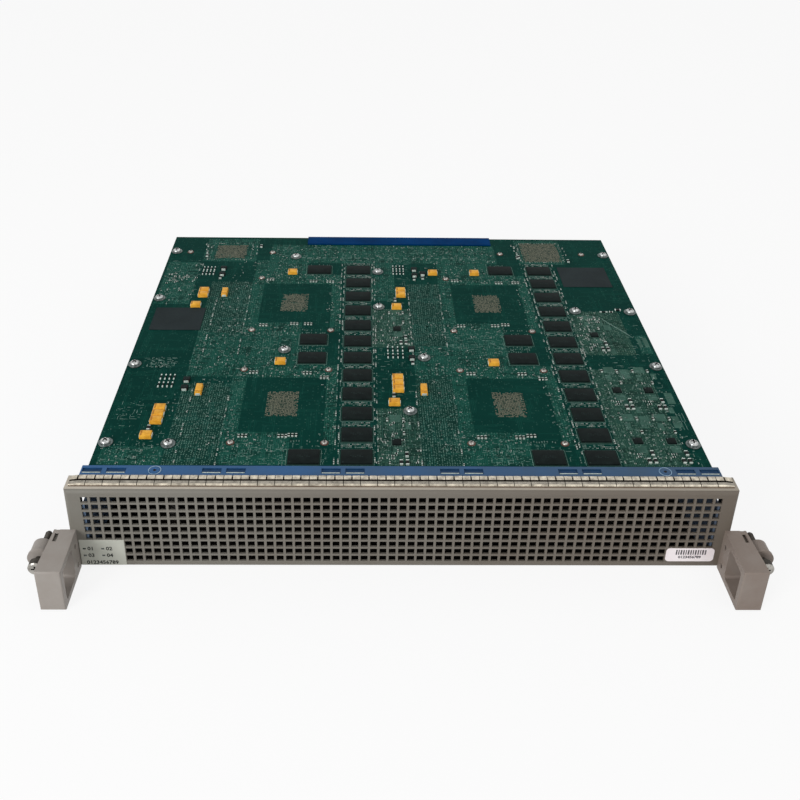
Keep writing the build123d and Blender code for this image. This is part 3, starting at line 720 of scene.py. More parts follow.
def written(text: str, height: float) -> Mesh:
    """Makes plain digits as a thin mesh, standing up and facing forwards.

    Args:
        text: what to write.
        height: the height of the digits.

    Returns:
        The mesh, in millimetres, centred on the origin.
    """
    curve = bpy.data.curves.new("digits", "FONT")
    curve.body = text
    curve.size = height * 1.4
    curve.extrude = 0.02
    curve.offset = 0.1
    curve.align_x = "CENTER"
    curve.align_y = "CENTER"
    curve.resolution_u = 2
    holder = placed("digits", curve)
    mesh = bpy.data.meshes.new_from_object(holder.evaluated_get(bpy.context.evaluated_depsgraph_get()))
    bpy.data.objects.remove(holder)
    bpy.data.curves.remove(curve)
    mesh.materials.clear()
    mesh.transform(FACE_NORMAL_TURN)
    return mesh


@dataclass
class Frame:
    """Places that every piece hangs on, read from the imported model, in millimetres."""

    nodes: dict[str, bpy.types.Object]
    face_y: float = 0.0
    board_top: float = 0.0
    face_half: float = 0.0
    face_top: float = 0.0

    def read(self) -> None:
        """Reads the face's and the board's places."""
        self.face_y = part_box("handle_left")[1].y / MM
        self.board_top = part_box("main_board")[1].z / MM
        self.face_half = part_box("finger_gasket")[1].x / MM
        self.face_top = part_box("finger_gasket")[0].z / MM

    def solids(self, *names: str) -> Iterator[Solid]:
        """Gives the box of each solid in some CAD nodes."""
        for name in names:
            yield from solid_boxes(self.nodes[name])

    def behind(self, y: float) -> float:
        """Turns a distance behind the face into Y."""
        return self.face_y + y

    def on_board(self, x: float, y: float, turn: float = 0.0) -> Matrix:
        """Places a pattern on the board's top."""
        return at(x, self.behind(y), self.board_top, turn)


@dataclass
class Castings:
    """The CAD nodes that stay: each gets its finish, and the cast ones get soft edges."""

    frame: Frame
    record: dict
    slot_offset: float = 9.7
    bridge: Three = (2.4, 2.6, 0.5)
    bridge_bevel: float = 0.12
    bridge_inset: float = 0.2
    shade_block: Three = (4.4, 11.0, 43.0)
    shade_block_bevel: float = 0.3
    shade_block_x: float = 184.8
    shade_block_front: float = 1.3
    shade_block_low: float = 3.0
    soft_edges: dict[str, float] = field(default_factory=lambda: {
        "handle_left": 0.45, "handle_right": 0.45, "guide_socket_left": 0.3, "guide_socket_right": 0.3})

    def dress(self) -> None:
        """Gives every node the finish of its slot in the record."""
        for row in self.record["subparts"]:
            node = self.frame.nodes[row["node"]]
            if not node.material_slots:
                node.data.materials.append(None)
            for slot in node.material_slots:
                slot.link = "OBJECT"
                slot.material = SLOT_FINISHES[row["material_slot"]].build()
        LOG.info("finishes set on %d nodes", len(self.record["subparts"]))

    def soften(self) -> None:
        """Rounds the edges of the cast nodes."""
        for name, width in self.soft_edges.items():
            node = self.frame.nodes[name]
            weld = node.modifiers.new("weld", "WELD")
            weld.merge_threshold = WELD_DISTANCE
            bevel = node.modifiers.new("soft_edges", "BEVEL")
            bevel.width = width * MM
            bevel.segments = 2
            bevel.limit_method = "ANGLE"
            bevel.angle_limit = SOFT_EDGE_ANGLE

    def build(self) -> None:
        """Dresses and softens the nodes, and adds a dark block of painted shade in each side return and the
        handles' slot bridges.
        """
        self.dress()
        self.soften()
        for side, name in ((-1, "left"), (1, "right")):
            shade_block = shift(block(*self.shade_block, bevel=self.shade_block_bevel), side * self.shade_block_x,
                         self.frame.behind(self.shade_block_front + self.shade_block[1] / 2), self.shade_block_low)
            finish_piece(f"return_shade_block_{name}", shade_block, [RETURN_SHADE], "gasket_metal")
            low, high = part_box(f"handle_{name}")
            inner = (high.x if side < 0 else low.x) / MM
            bridge = shift(block(*self.bridge, bevel=self.bridge_bevel), inner + side * self.slot_offset,
                           high.y / MM - self.bridge[1] / 2 - self.bridge_inset, high.z / MM - self.bridge[2])
            finish_piece(f"slot_bridge_{name}", bridge, [CAST_COAT], "handle_paint")


@dataclass
class FingerGasket:
    """Spring-finger strip over the top fold of the face: arched fingers with a crease, slit in turn."""

    frame: Frame
    start: float = 4.5
    width: float = 7.9
    rise: float = 2.0
    finger_pitch: float = 9.44
    slit: float = 0.4
    prong_slit: float = 0.8
    sheet: float = 0.2
    end_reach: float = 7.0
    end_drop: float = 0.55
    end_inset: float = 1.0
    shade: Pair = (0.9, 0.3)
    edge_shadow: Pair = (1.0, 0.1)
    edge_shadow_overlap: float = 0.1
    profile: tuple[Pair, ...] = (
        (0.0, 0.0), (0.03, 0.34), (0.1, 0.52), (0.22, 0.62), (0.35, 0.64), (0.39, 0.2), (0.44, 0.2),
        (0.48, 0.86), (0.6, 0.97), (0.76, 1.0), (0.88, 0.9), (0.96, 0.6), (1.0, 0.1))
    crease: tuple[int, int] = (4, 7)
    trough_start: float = 0.1

    def finger(self) -> Mesh:
        """Makes one finger: a sheet over the arch, split in two prongs behind its crease.

        Returns:
            The finger, centred on X, with its front edge on Y 0.
        """
        shape = bmesh.new()
        half = (self.finger_pitch - self.slit) / 2
        columns = (-half, -self.prong_slit / 2, self.prong_slit / 2, half)
        last_column, last_row = len(columns) - 1, len(self.profile) - 1
        bmesh.ops.create_grid(shape, x_segments=last_column, y_segments=last_row, size=1.0)
        for vert in shape.verts:
            column = round((vert.co.x + 1) / 2 * last_column)
            row = round((vert.co.y + 1) / 2 * last_row)
            run, lift = self.profile[row]
            vert.co = (columns[column], run * self.width, lift * (self.rise - self.sheet))
        crease_front, crease_rear = (self.profile[row][0] * self.width for row in self.crease)
        hollow = []
        for face in shape.faces:
            middle = face.calc_center_median()
            # Painted shade: dark on the crease's faces, greyer on the trough in front of it
            face.material_index = 1 if crease_front < middle.y < crease_rear else 0
            if self.trough_start * self.width < middle.y < crease_front:
                face.material_index = 2
            if abs(middle.x) < self.prong_slit / 2 and middle.y > crease_front:
                hollow.append(face)
        bmesh.ops.delete(shape, geom=hollow, context="FACES")
        bmesh.ops.recalc_face_normals(shape, faces=shape.faces)
        if sum(face.normal.z for face in shape.faces) < 0:
            bmesh.ops.reverse_faces(shape, faces=shape.faces)
        bmesh.ops.solidify(shape, geom=shape.faces[:], thickness=self.sheet)
        return pattern_of(shape)

    def build(self) -> None:
        """Sets the fingers along the fold, with lower ends, over a strip of painted shade and a line of
        painted shadow in front.
        """
        shape = bmesh.new()
        reach = self.frame.face_half
        top = self.frame.face_top
        count = int(2 * reach // self.finger_pitch)
        start_y = self.frame.behind(self.start)
        first = -(count - 1) / 2 * self.finger_pitch
        stamp(shape, self.finger(), [at(first + index * self.finger_pitch, start_y, top + self.sheet)
                                     for index in range(count)])
        low = min(vert.co.z for vert in shape.verts)
        shift(shape, 0.0, 0.0, top - low)
        for vert in shape.verts:
            vert.co.x *= reach / (count * self.finger_pitch / 2)
            over = max(0.0, abs(vert.co.x) - reach + self.end_reach) / self.end_reach
            lift = vert.co.z - top
            vert.co.z = top + lift * (1 - self.end_drop * over * over)
        finish_piece("gasket_fingers", shape, [SPRING_TIN, SLIT_SHADE, TIN_SHADE], "gasket_metal",
                     replaces=["finger_gasket"])
        length = 2 * reach - self.end_inset
        inset, height = self.shade
        strip = bmesh.new()
        join(strip, block(length, self.width - inset, height), at(0.0, start_y + self.width / 2, top))
        finish_piece("gasket_shade", strip, [SLIT_SHADE], "gasket_metal")
        # A brown line in front of the fingers: painted shadow of their front edge
        width, height = self.edge_shadow
        line = shift(block(length, width, height), 0.0, start_y - width / 2 + self.edge_shadow_overlap, top)
        finish_piece("gasket_edge_shadow", line, [EDGE_SHADOW], "gasket_metal")


@dataclass
class Stiffener:
    """Details of the blue strip: pressed pockets in painted shade, each with a bright lip that is a painted
    highlight, and the flush screws' rings, pale as a painted highlight.
    """

    frame: Frame
    slot: Three = (11.0, 4.4, 0.35)
    spacing: float = 13.7
    pair_pitch: float = 67.9
    pairs: int = 6
    middle: float = 17.3
    lip: Three = (10.4, 0.4, 0.5)
    lip_lift: float = 0.75
    ring_radius: float = 3.7

    def build(self) -> None:
        """Fills each slot with a dark pocket of painted shade and a bright lip of painted highlight, and
        details the screws.
        """
        pocket = pattern_of(block(*self.slot))
        lip = pattern_of(block(*self.lip, bevel=0.15, body_index=1))
        front = self.middle - self.slot[1] / 2 + self.lip[1]
        shape = bmesh.new()
        for pair in range(self.pairs):
            for side in (-0.5, 0.5):
                x = (pair - (self.pairs - 1) / 2) * self.pair_pitch + side * self.spacing
                stamp(shape, pocket, [self.frame.on_board(x, self.middle)])
                raised = Matrix.Translation((0.0, 0.0, self.lip_lift))
                stamp(shape, lip, [raised @ self.frame.on_board(x, front)])
        # The lips take the pale tin finish: a painted highlight along each pocket's front edge
        finish_piece("stiffener_pockets", shape, [POCKET_ZINC, SOLDER], "stiffener_zinc")
        rings = bmesh.new()
        edge = self.ring_radius
        for solid in self.frame.solids("stiffener_screws"):
            radius = solid.size.x / 2
            screw = turned(((0.0, 0.25), (radius * 0.3, 0.25), (radius * 0.36, 0.45), (radius * 0.8, 0.5),
                            (radius * 0.97, 0.36), (radius, 0.0), (0.0, 0.0)), 28)
            join(screw, disc(radius * 0.3, 0.3, 10, 1, under=0.1))
            # The pale ring round the head is a painted highlight on its rim
            join(screw, turned(((edge - 0.5, 0.0), (edge - 0.45, 0.3), (edge, 0.3), (edge, 0.0),
                                (edge - 0.5, 0.0)), 32, 2))
            join(rings, screw, solid.foot())
        finish_piece("stiffener_screw_heads", rings, [BLUE_ZINC, RECESS_DARK, RING_ZINC],
                     "stiffener_screw_zinc", replaces=["stiffener_screws"])


@dataclass
class Screws:
    """Board screws on washers, small heatsink screws on copper pads, and the captive screws."""

    frame: Frame
    washer_radius: float = 4.35
    washer_height: float = 0.8
    head_radius: float = 2.95
    head_height: float = 2.3
    sink_radius: float = 1.9
    sink_height: float = 1.45
    pad_radius: float = 2.5
    boss_back: float = -4.7
    head_front: float = -22.5
    head_length: float = 5.0
    bright_length: float = 2.4
    captive_radius: float = 4.2
    shank_radius: float = 2.0
    neck_radius: float = 1.5
    neck_length: float = 1.1
    tip: float = 6.0
    tip_chamfer: float = 0.6
    thread_pitch: float = 0.75
    thread_depth: float = 0.3
    flutes: int = 36
    flute_share: float = 0.94
    seed: int = 11

    def pan_screw(self) -> Mesh:
        """Makes a pan head with a cross recess, on a washer.

        Returns:
            The screw, standing on Z 0.
        """
        top = self.washer_height
        radius = self.head_radius
        height = self.head_height
        edge = self.washer_radius
        profile = (
            (0.0, top + height), (radius * 0.36, top + height * 0.97), (radius * 0.66, top + height * 0.84),
            (radius * 0.88, top + height * 0.6), (radius * 0.98, top + height * 0.34), (radius, top + 0.3),
            (radius * 0.98, top), (0.0, top))
        head = cut(turned(profile, 32), cross_cutter(radius * 1.25, 0.85, top + height, 1.5))
        join(head, turned(((0.0, top), (edge - 0.15, top), (edge, top - 0.15), (edge, 0.12),
                           (edge - 0.12, 0.0), (0.0, 0.0)), 36, 2))
        return pattern_of(head)

    def sink_screw(self) -> Mesh:
        """Makes a small domed head with a cross recess on a round copper pad.

        Returns:
            The screw, standing on Z 0.
        """
        radius = self.sink_radius
        height = self.sink_height
        profile = ((0.0, height), (radius * 0.5, 1.38), (radius * 0.84, 1.05), (radius, 0.55), (radius, 0.14),
                   (0.0, 0.14))
        head = cut(turned(profile, 20), cross_cutter(radius * 1.15, 0.5, height, 0.8))
        join(head, disc(self.pad_radius, 0.16, 20, 2))
        return pattern_of(head)

    def captive_screw(self) -> BMesh:
        """Makes a captive screw along Z, head up, with Z measured forwards from the face's plane.

        Returns:
            The screw, with the recess cut in its head.
        """
        front = -self.head_front
        back = front - self.head_length
        neck_front = -self.boss_back - 0.15
        neck_back = neck_front - self.neck_length
        radius = self.captive_radius
        profile = [
            (0.0, front - 0.25), (radius * 0.52, front - 0.2), (radius * 0.6, front), (radius * 0.86, front),
            (radius, front - 0.6), (radius, front - 1.0), (radius, back + 0.9), (radius, back + 0.4),
            (radius * 0.9, back), (self.shank_radius, back), (self.shank_radius, neck_front),
            (self.neck_radius, neck_front), (self.neck_radius, neck_back), (self.shank_radius, neck_back)]
        height = neck_back - 0.2
        while height - self.thread_pitch > -self.tip + self.tip_chamfer:
            profile.append((self.shank_radius, height))
            profile.append((self.shank_radius - self.thread_depth, height - self.thread_pitch / 2))
            height -= self.thread_pitch
        profile += [(self.shank_radius, height), (self.shank_radius - self.tip_chamfer, -self.tip),
                    (0.0, -self.tip)]
        shape = turned(profile, 2 * self.flutes)
        for vert in shape.verts:
            reach = math.hypot(vert.co.x, vert.co.y)
            turn = round(math.atan2(vert.co.y, vert.co.x) / math.tau * 2 * self.flutes)
            if back + 0.8 < vert.co.z < front - 0.9 and reach > radius * 0.95 and turn % 2:
                vert.co.x *= self.flute_share
                vert.co.y *= self.flute_share
        return cut(shape, cross_cutter(radius, 1.0, front, 2.2))

    def build(self) -> None:
        """Sets a screw at each solid that stands for one."""
        turns = random.Random(self.seed)
        for name, pattern, node, slot, finishes in (
                ("screws_on_washers", self.pan_screw(), "board_screws", "screw_steel",
                 [SCREW_BRIGHT, RECESS_DARK, WASHER_GREY]),
                ("screws_of_heatsinks", self.sink_screw(), "heatsink_screws", "sink_screw_steel",
                 [SINK_HEAD, RECESS_DARK, COPPER_PAD])):
            shape = bmesh.new()
            stamp(shape, pattern, [solid.foot(turns.uniform(0.0, 90.0)) for solid in self.frame.solids(node)])
            finish_piece(name, shape, finishes, slot, replaces=[node])
        for side in ("left", "right"):
            low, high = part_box(f"captive_screw_{side}")
            middle = (low + high) / (2 * MM)
            shape = self.captive_screw()
            # Behind the bright front of the head, the screw is dark steel: painted shade
            shank_top = -self.head_front - self.bright_length
            for face in shape.faces:
                if face.calc_center_median().z < shank_top:
                    face.material_index = 2
            place = Matrix.Translation((middle.x, self.frame.face_y, middle.z)) @ FACE_NORMAL_TURN
            bmesh.ops.transform(shape, matrix=place, verts=shape.verts)
            finish_piece(f"thumb_screw_{side}", shape, [NICKEL, RECESS_DARK, SHADED_STEEL], "captive_steel",
                         body=f"{side}_captive_screw", replaces=[f"captive_screw_{side}"])


@dataclass
class Packages:
    """Moulded packages on the board: memory, controllers, inductors and tantalum capacitors."""

    frame: Frame
    substrate: float = 0.35
    mark_height: float = 0.03
    tantalum_gap: float = 0.4
    tantalum_taper: Pair = (0.955, 0.93)
    controller_share: float = 0.88
    controller_legs: int = 7
    memory_names: dict[str, str] = field(default_factory=lambda: {
        "memory_column_left": "memory_packages_left", "memory_column_right": "memory_packages_right",
        "side_memory": "memory_packages_side"})

    def memory(self) -> None:
        """Gives each memory chip a substrate, a chamfered body, a first-pin dot and faint marking."""
        mark = pattern_of(block(0.9, 0.5, 0.02, body_index=2))
        dot = pattern_of(disc(0.45, self.mark_height, 12, 2))
        for node_name, name in self.memory_names.items():
            shape = bmesh.new()
            for solid in self.frame.solids(node_name):
                size, low, middle, top = solid.size, solid.low, solid.middle, solid.high.z
                join(shape, block(size.x, size.y, self.substrate, body_index=1), solid.foot())
                join(shape, block(size.x - 0.7, size.y - 0.9, size.z - self.substrate, bevel=0.18),
                     solid.foot(z=self.substrate))
                stamp(shape, dot, [at(low.x + 1.6, low.y + 1.6, top)])
                stamp(shape, mark, [at(middle.x + column * 1.35 - 3.4, middle.y + row * 1.1 - 0.4, top)
                                    for column in range(6) for row in range(2) if (column + row) % 3])
            finish_piece(name, shape, [PACKAGE, PACKAGE_EDGE, PACKAGE_MARK], "chip_epoxy",
                         replaces=[node_name])

    def tantalums(self) -> None:
        """Builds each capacitor with a tapered body, a polarity band and tin ends."""
        shape = bmesh.new()
        for solid in self.frame.solids("tantalum_capacitors"):
            size = solid.size
            lengthways = size.x > size.y
            long, short = (size.x, size.y) if lengthways else (size.y, size.x)
            taper_x, taper_y = self.tantalum_taper
            body = block(long - 0.5, short - self.tantalum_gap, size.z - 0.15, bevel=0.32)
            for vert in body.verts:
                if vert.co.z > size.z * 0.6:
                    vert.co.x *= taper_x
                    vert.co.y *= taper_y
            band = block(0.9, (short - self.tantalum_gap) * taper_y - 0.5, self.mark_height, body_index=1)
            join(body, band, at(-long / 2 + 1.3, 0.0, size.z - 0.16))
            end = block(0.5, short * 0.62, size.z * 0.55, bevel=0.1, body_index=2)
            join(body, end, *(at(sign * (long / 2 - 0.25), 0.0, 0.0) for sign in (-1, 1)))
            join(shape, body, solid.foot(0.0 if lengthways else 90.0))
        finish_piece("tantalum_bodies", shape, [TANTALUM, TANTALUM_BAND, SOLDER], "tantalum_yellow",
                     replaces=["tantalum_capacitors"])

    def inductors(self) -> None:
        """Builds the inductors with a round mark and a tin end on each side."""
        shape = bmesh.new()
        for solid in self.frame.solids("inductors"):
            size, middle = solid.size, solid.middle
            join(shape, block(*size, bevel=0.3), solid.foot())
            ring = disc(size.x * 0.16, self.mark_height, 14, 1)
            join(ring, turned(((size.x * 0.26, 0.0), (size.x * 0.26, self.mark_height),
                               (size.x * 0.36, self.mark_height), (size.x * 0.36, 0.0),
                               (size.x * 0.26, 0.0)), 18, 1))
            join(shape, ring, at(middle.x, middle.y, solid.high.z))
            end = block(1.1, size.x * 0.7, size.z * 0.85, bevel=0.15, body_index=2)
            join(shape, end, *(solid.foot(90.0, y=sign * (size.y / 2 - 0.4)) for sign in (-1, 1)))
        finish_piece("inductor_bodies", shape, [FERRITE, PACKAGE_MARK, SOLDER], "ferrite",
                     replaces=["inductors"])

    def controllers(self) -> None:
        """Builds the controllers with a first-pin dot and a row of pads on each side."""
        shape = bmesh.new()
        pad = pattern_of(block(0.32, 0.5, 0.12, body_index=1))
        dot = pattern_of(disc(0.35, self.mark_height, 10, 1))
        for solid in self.frame.solids("controller_chips"):
            size = solid.size
            share = self.controller_share
            join(shape, block(size.x * share, size.y * share, size.z, bevel=0.12), solid.foot())
            for turn in (0.0, 90.0, 180.0, 270.0):
                stamp(shape, pad, [solid.foot(turn) @ at(-2.4 + step * 0.8, -size.y / 2 - 0.15, 0.0)
                                   for step in range(self.controller_legs)])
            stamp(shape, dot, [at(solid.low.x + 1.1, solid.high.y - 1.1, solid.high.z)])
        finish_piece("controller_bodies", shape, [PACKAGE, PART_DULL], "chip_epoxy",
                     replaces=["controller_chips"])

    def build(self) -> None:
        """Builds every kind of package."""
        self.memory()
        self.tantalums()
        self.inductors()
        self.controllers()


class PartKind(Enum):
    """Chip parts by size: width along X, length along Y, height, end length and body index."""

    TINY = (0.5, 1.0, 0.4, 0.25, 0)
    SMALL = (0.75, 1.6, 0.5, 0.36, 0)
    MEDIUM = (1.25, 2.5, 0.9, 0.5, 0)
    LARGE = (1.9, 4.2, 1.0, 0.7, 2)
    LONG = (0.8, 5.8, 0.7, 1.5, 2)
    RESISTOR = (0.9, 1.7, 0.5, 0.35, 2)
    DULL = (0.6, 1.1, 0.3, 0.3, 3)


TINY, SMALL, MEDIUM, LARGE, LONG, RESISTOR, DULL = PartKind
# What a scatter draws from: mostly dull parts, and a mixture with more bright ones
PLAIN_PARTS = (DULL, DULL, DULL, DULL, TINY)
MIXED_PARTS = (DULL, DULL, TINY, DULL, RESISTOR)


@dataclass(frozen=True)
class Area:
    """A rectangle of the board, X from the centre line and Y behind the face, in millimetres."""

    left: float
    front: float
    right: float
    rear: float

    def moved(self, x: float, y: float) -> Area:
        """Gives the same rectangle somewhere else on the board."""
        return Area(self.left + x, self.front + y, self.right + x, self.rear + y)

    def holds(self, x: float, y: float, margin: float = 0.0) -> bool:
        """Whether a place lies inside, or within a margin of the edge."""
        return (self.left - margin < x < self.right + margin
                and self.front - margin < y < self.rear + margin)


@dataclass
class ChipParts:
    """The board's small chip parts, each set only where nothing larger stands."""

    frame: Frame
    processors: Rows
    supplies: Rows
    rear_chips: Rows = ((-130.3, 291, 16.5, 14.5), (123.8, 292, 17.5, 17))
    clearance: float = 0.15
    # The processors' and the memory columns' middles
    sides: tuple[float, ...] = (-73.5, 70.2)
    memory_offset: float = 47.2
    column_offsets: tuple[float, ...] = (-13.0, -10.9, 10.9, 12.6)
    column_start: float = 25.0
    column_end: float = 272.0
    field_offsets: tuple[float, ...] = (-58.6, -34.5)
    field_runs: Rows = ((24, 96), (140, 222))
    part_step: float = 2.2
    memory_count: int = 12
    memory_front: float = 30.3
    memory_pitch: float = 20.85
    memory_lines: tuple[float, ...] = (9.0, 10.4, 11.8)
    line_parts: int = 14
    line_start: float = -8.8
    line_step: float = 1.35
    side_rows: tuple[float, ...] = (34, 45, 143, 146, 149, 166, 170, 248, 251, 268.5)
    side_parts: int = 11
    side_start: float = 8.0
    side_step: float = 1.6
    ring_parts: int = 64
    ring_square: float = 1.35
    seed: int = 5
    # Four by two: their middle, and how far apart they stand along X and Y
    eights: Rows = ((-144.3, 257.2, 2.8, 7.2), (5.3, 260.1, 2.7, 8.4), (-150.5, 106.5, 2.9, 8.6),
                    (-0.4, 141.4, 3.4, 8.4))
    large_ones: Rows = (
        (-133.8, 246.3), (17.4, 245.8), (24.2, 247.6), (-136.2, 93.8), (11, 129), (103.6, 283),
        (144.4, 277.4), (-106.9, 300.2), (-147.6, 214), (1.5, 213), (-152.5, 57.2), (-2.8, 91.5))
    threes: Rows = (
        (-61, 241), (-48, 240.5), (83, 240), (96, 240.5), (-59.5, 116), (-48, 111), (83, 116), (96, 110.5),
        (-94, 176), (48, 176), (-72, 178), (-62, 178), (72.5, 176.5), (80, 178), (-95, 49.5), (-71, 49.5),
        (-65, 50.5), (49, 49), (72, 49), (79, 50.5), (-94.5, 243.5), (49, 243), (-95, 116.5), (49, 116))
    # A part's kind, its place from the middle of the supply, and its turn
    cell_parts: tuple[tuple[PartKind, float, float, float], ...] = (
        (LARGE, 2.2, -18.6, 0), (LARGE, 5.8, -18.6, 0), (LARGE, 5.7, -11.6, 0), (MEDIUM, -5.2, 21.7, 0),
        (MEDIUM, 4.8, 21.7, 0), (MEDIUM, 4.7, 8.4, 0), (SMALL, -2.2, 7.8, 0), (RESISTOR, -2.6, -12.4, 90),
        (RESISTOR, -2.6, -14.8, 90), (TINY, -5, -11.8, 0), (TINY, -0.3, -11.8, 0), (TINY, -4.6, -15.6, 0),
        (TINY, -5.4, -3, 0), (TINY, -5.2, 1.2, 0), (DULL, 4.9, 0.4, 0), (DULL, 4.9, -2.2, 0),
        (DULL, -1.4, 5, 90), (DULL, 1.2, 5, 90), (TINY, -6.6, 5.4, 0), (DULL, -6.8, -7.4, 90),
        (DULL, -5, -7.4, 90), (DULL, -0.6, -5.4, 90))
    rear_parts: tuple[tuple[PartKind, float, float], ...] = (
        (MEDIUM, -20.5, 9), (SMALL, -21, 3), (MEDIUM, -19.6, -2), (LARGE, -19, -8), (SMALL, -18, -13.5),
        (SMALL, -22.4, 12.5), (SMALL, -17.6, 7), (SMALL, 20, 8.5), (TINY, 20.6, 3), (SMALL, 20.8, -3.5))
    single_parts: tuple[tuple[PartKind, float, float], ...] = (
        (LONG, 155.5, 197.2), (MEDIUM, 161, 197.2), (LARGE, 166.6, 200))
    # Sides of an area, how many parts are tried in it, and what they are drawn from
    scattered: tuple[tuple[Area, int, tuple[PartKind, ...]], ...] = (
        (Area(129, 24, 174, 62), 90, PLAIN_PARTS), (Area(129, 62, 174, 122), 150, PLAIN_PARTS),
        (Area(129, 142, 150, 196), 120, MIXED_PARTS), (Area(-98, 274, -4, 303), 150, PLAIN_PARTS),
        (Area(-4, 274, 84, 303), 190, PLAIN_PARTS), (Area(-14, 24, 14, 74), 80, MIXED_PARTS),
        (Area(-14, 150, 14, 200), 90, MIXED_PARTS), (Area(-178, 205, -150, 270), 60, MIXED_PARTS),
        (Area(-176, 24, -140, 42), 40, PLAIN_PARTS), (Area(-168, 122, -150, 134), 36, PLAIN_PARTS),
        (Area(-139, 120, -112, 165), 60, PLAIN_PARTS), (Area(-150, 60, -136, 92), 24, PLAIN_PARTS),
        (Area(-30, 214, 0, 300), 40, PLAIN_PARTS), (Area(12, 112, 36, 150), 50, PLAIN_PARTS),
        (Area(-172, 238, -158, 250), 24, (SMALL, TINY)))
    round_processors: tuple[tuple[Area, int], ...] = (
        (Area(-48, -47, 8, -30), 70), (Area(-30, 30, 34, 44), 80), (Area(-48, 44, 8, 66), 60),
        (Area(-54, -44, -26, 44), 60), (Area(24, -34, 34, 34), 40))
    large_nodes: tuple[str, ...] = (
        "memory_column_left", "memory_column_right", "side_memory", "tantalum_capacitors", "inductors",
        "controller_chips", "insulating_pad_left", "insulating_pad_right", "board_screws", "heatsink_screws",
        "rear_stiffener", "front_stiffener")
    taken: list[Area] = field(default_factory=list)
    patterns: dict[PartKind, Mesh] = field(default_factory=dict)

    def read_taken(self) -> None:
        """Notes what already stands on the board, so that nothing small is put inside it."""
        for solid in self.frame.solids(*self.large_nodes):
            low, high = solid.low, solid.high
            self.taken.append(Area(low.x, low.y - self.frame.face_y, high.x, high.y - self.frame.face_y))

    def free(self, x: float, y: float, margin: float) -> bool:
        """Whether a place on the board is clear of the larger parts."""
        return not any(area.holds(x, y, margin) for area in self.taken)

    def place_part(self, shape: BMesh, kind: PartKind, x: float, y: float, turn: float = 0.0) -> None:
        """Sets one chip part where nothing larger stands.

        Args:
            shape: the shape that takes it.
            kind: which part.
            x: its place across the board.
            y: its place behind the face.
            turn: its angle in degrees. At 0 its length runs along Y.
        """
        width, length, height, end, index = kind.value
        if kind not in self.patterns:
            # A dull part is dull all over, and the others have bright ends
            part = block(length, width, height, ends=end, body_index=index, end_index=3 if index == 3 else 1)
            quarter = Matrix.Rotation(math.radians(90), 3, "Z")
            bmesh.ops.rotate(part, cent=(0, 0, 0), matrix=quarter, verts=part.verts)
            self.patterns[kind] = pattern_of(part)
        if self.free(x, y, length / 2 + self.clearance):
            stamp(shape, self.patterns[kind], [self.frame.on_board(x, y, turn)])

    def run_of_parts(self, shape: BMesh, draw: random.Random, x: float, y: float) -> float:
        """Sets up to three small capacitors end to end, and leaves a gap behind them.

        Args:
            shape: the shape that takes them.
            draw: the seeded source of numbers.
            x: the column they stand in.
            y: where the run starts.

        Returns:
            Where the next run starts.
        """
        x += draw.uniform(-0.25, 0.25)
        for _ in range(draw.choice((1, 2, 2, 3))):
            kind = SMALL if draw.random() < 0.5 else DULL
            self.place_part(shape, kind, x, y)
            y += self.part_step
        return y + draw.choice((2.4, 4.0, 6.4))

    def capacitor_columns(self, shape: BMesh, draw: random.Random) -> None:
        """Sets the bright columns of capacitors beside the memory and along the via fields.

        Args:
            shape: the shape that takes them.
            draw: the seeded source of numbers.
        """
        for side in self.sides:
            for offset in self.column_offsets:
                y = self.column_start + draw.uniform(0.0, 2.0)
                while y < self.column_end:
                    y = self.run_of_parts(shape, draw, side + self.memory_offset + offset, y)
            for offset in self.field_offsets:
                for y, stop in self.field_runs:
                    while y < stop:
                        y = self.run_of_parts(shape, draw, side + offset, y)

    def memory_rows(self, shape: BMesh, draw: random.Random) -> None:
        """Sets the rows of tiny parts between the memory chips and beside the side memory.

        Args:
            shape: the shape that takes them.
            draw: the seeded source of numbers.
        """
        for side in self.sides:
            first = side + self.memory_offset + self.line_start
            for row in range(self.memory_count):
                for line in self.memory_lines:
                    y = self.memory_front + self.memory_pitch * row + line
                    for step in range(self.line_parts):
                        if draw.random() < 0.72:
                            kind = DULL if draw.random() < 0.75 else TINY
                            self.place_part(shape, kind, first + self.line_step * step, y, 90.0)
            for y in self.side_rows:
                for step in range(self.side_parts):
                    if draw.random() < 0.6:
                        self.place_part(shape, DULL, side + self.side_start + self.side_step * step,
                                        y + draw.uniform(-0.6, 0.6))

    def groups(self, shape: BMesh) -> None:
        """Sets the groups that stand out: four by two, threes and single large parts.

        Args:
            shape: the shape that takes them.
        """
        for x, y, spread_x, spread_y in self.eights:
            for column in range(4):
                for row in range(2):
                    self.place_part(shape, LONG, x + (column - 1.5) * spread_x, y + (row - 0.5) * spread_y)
        for x, y in self.large_ones:
            self.place_part(shape, LARGE, x, y)
        for x, y in self.threes:
            for step in (-self.part_step, 0.0, self.part_step):
                self.place_part(shape, MEDIUM, x + step, y)

    def supply_cells(self, shape: BMesh) -> None:
        """Repeats the small supplies' layout round each controller chip.

        Args:
            shape: the shape that takes them.
        """
        for x, y in self.supplies:
            for kind, offset_x, offset_y, turn in self.cell_parts:
                self.place_part(shape, kind, x + offset_x, y + offset_y, turn)

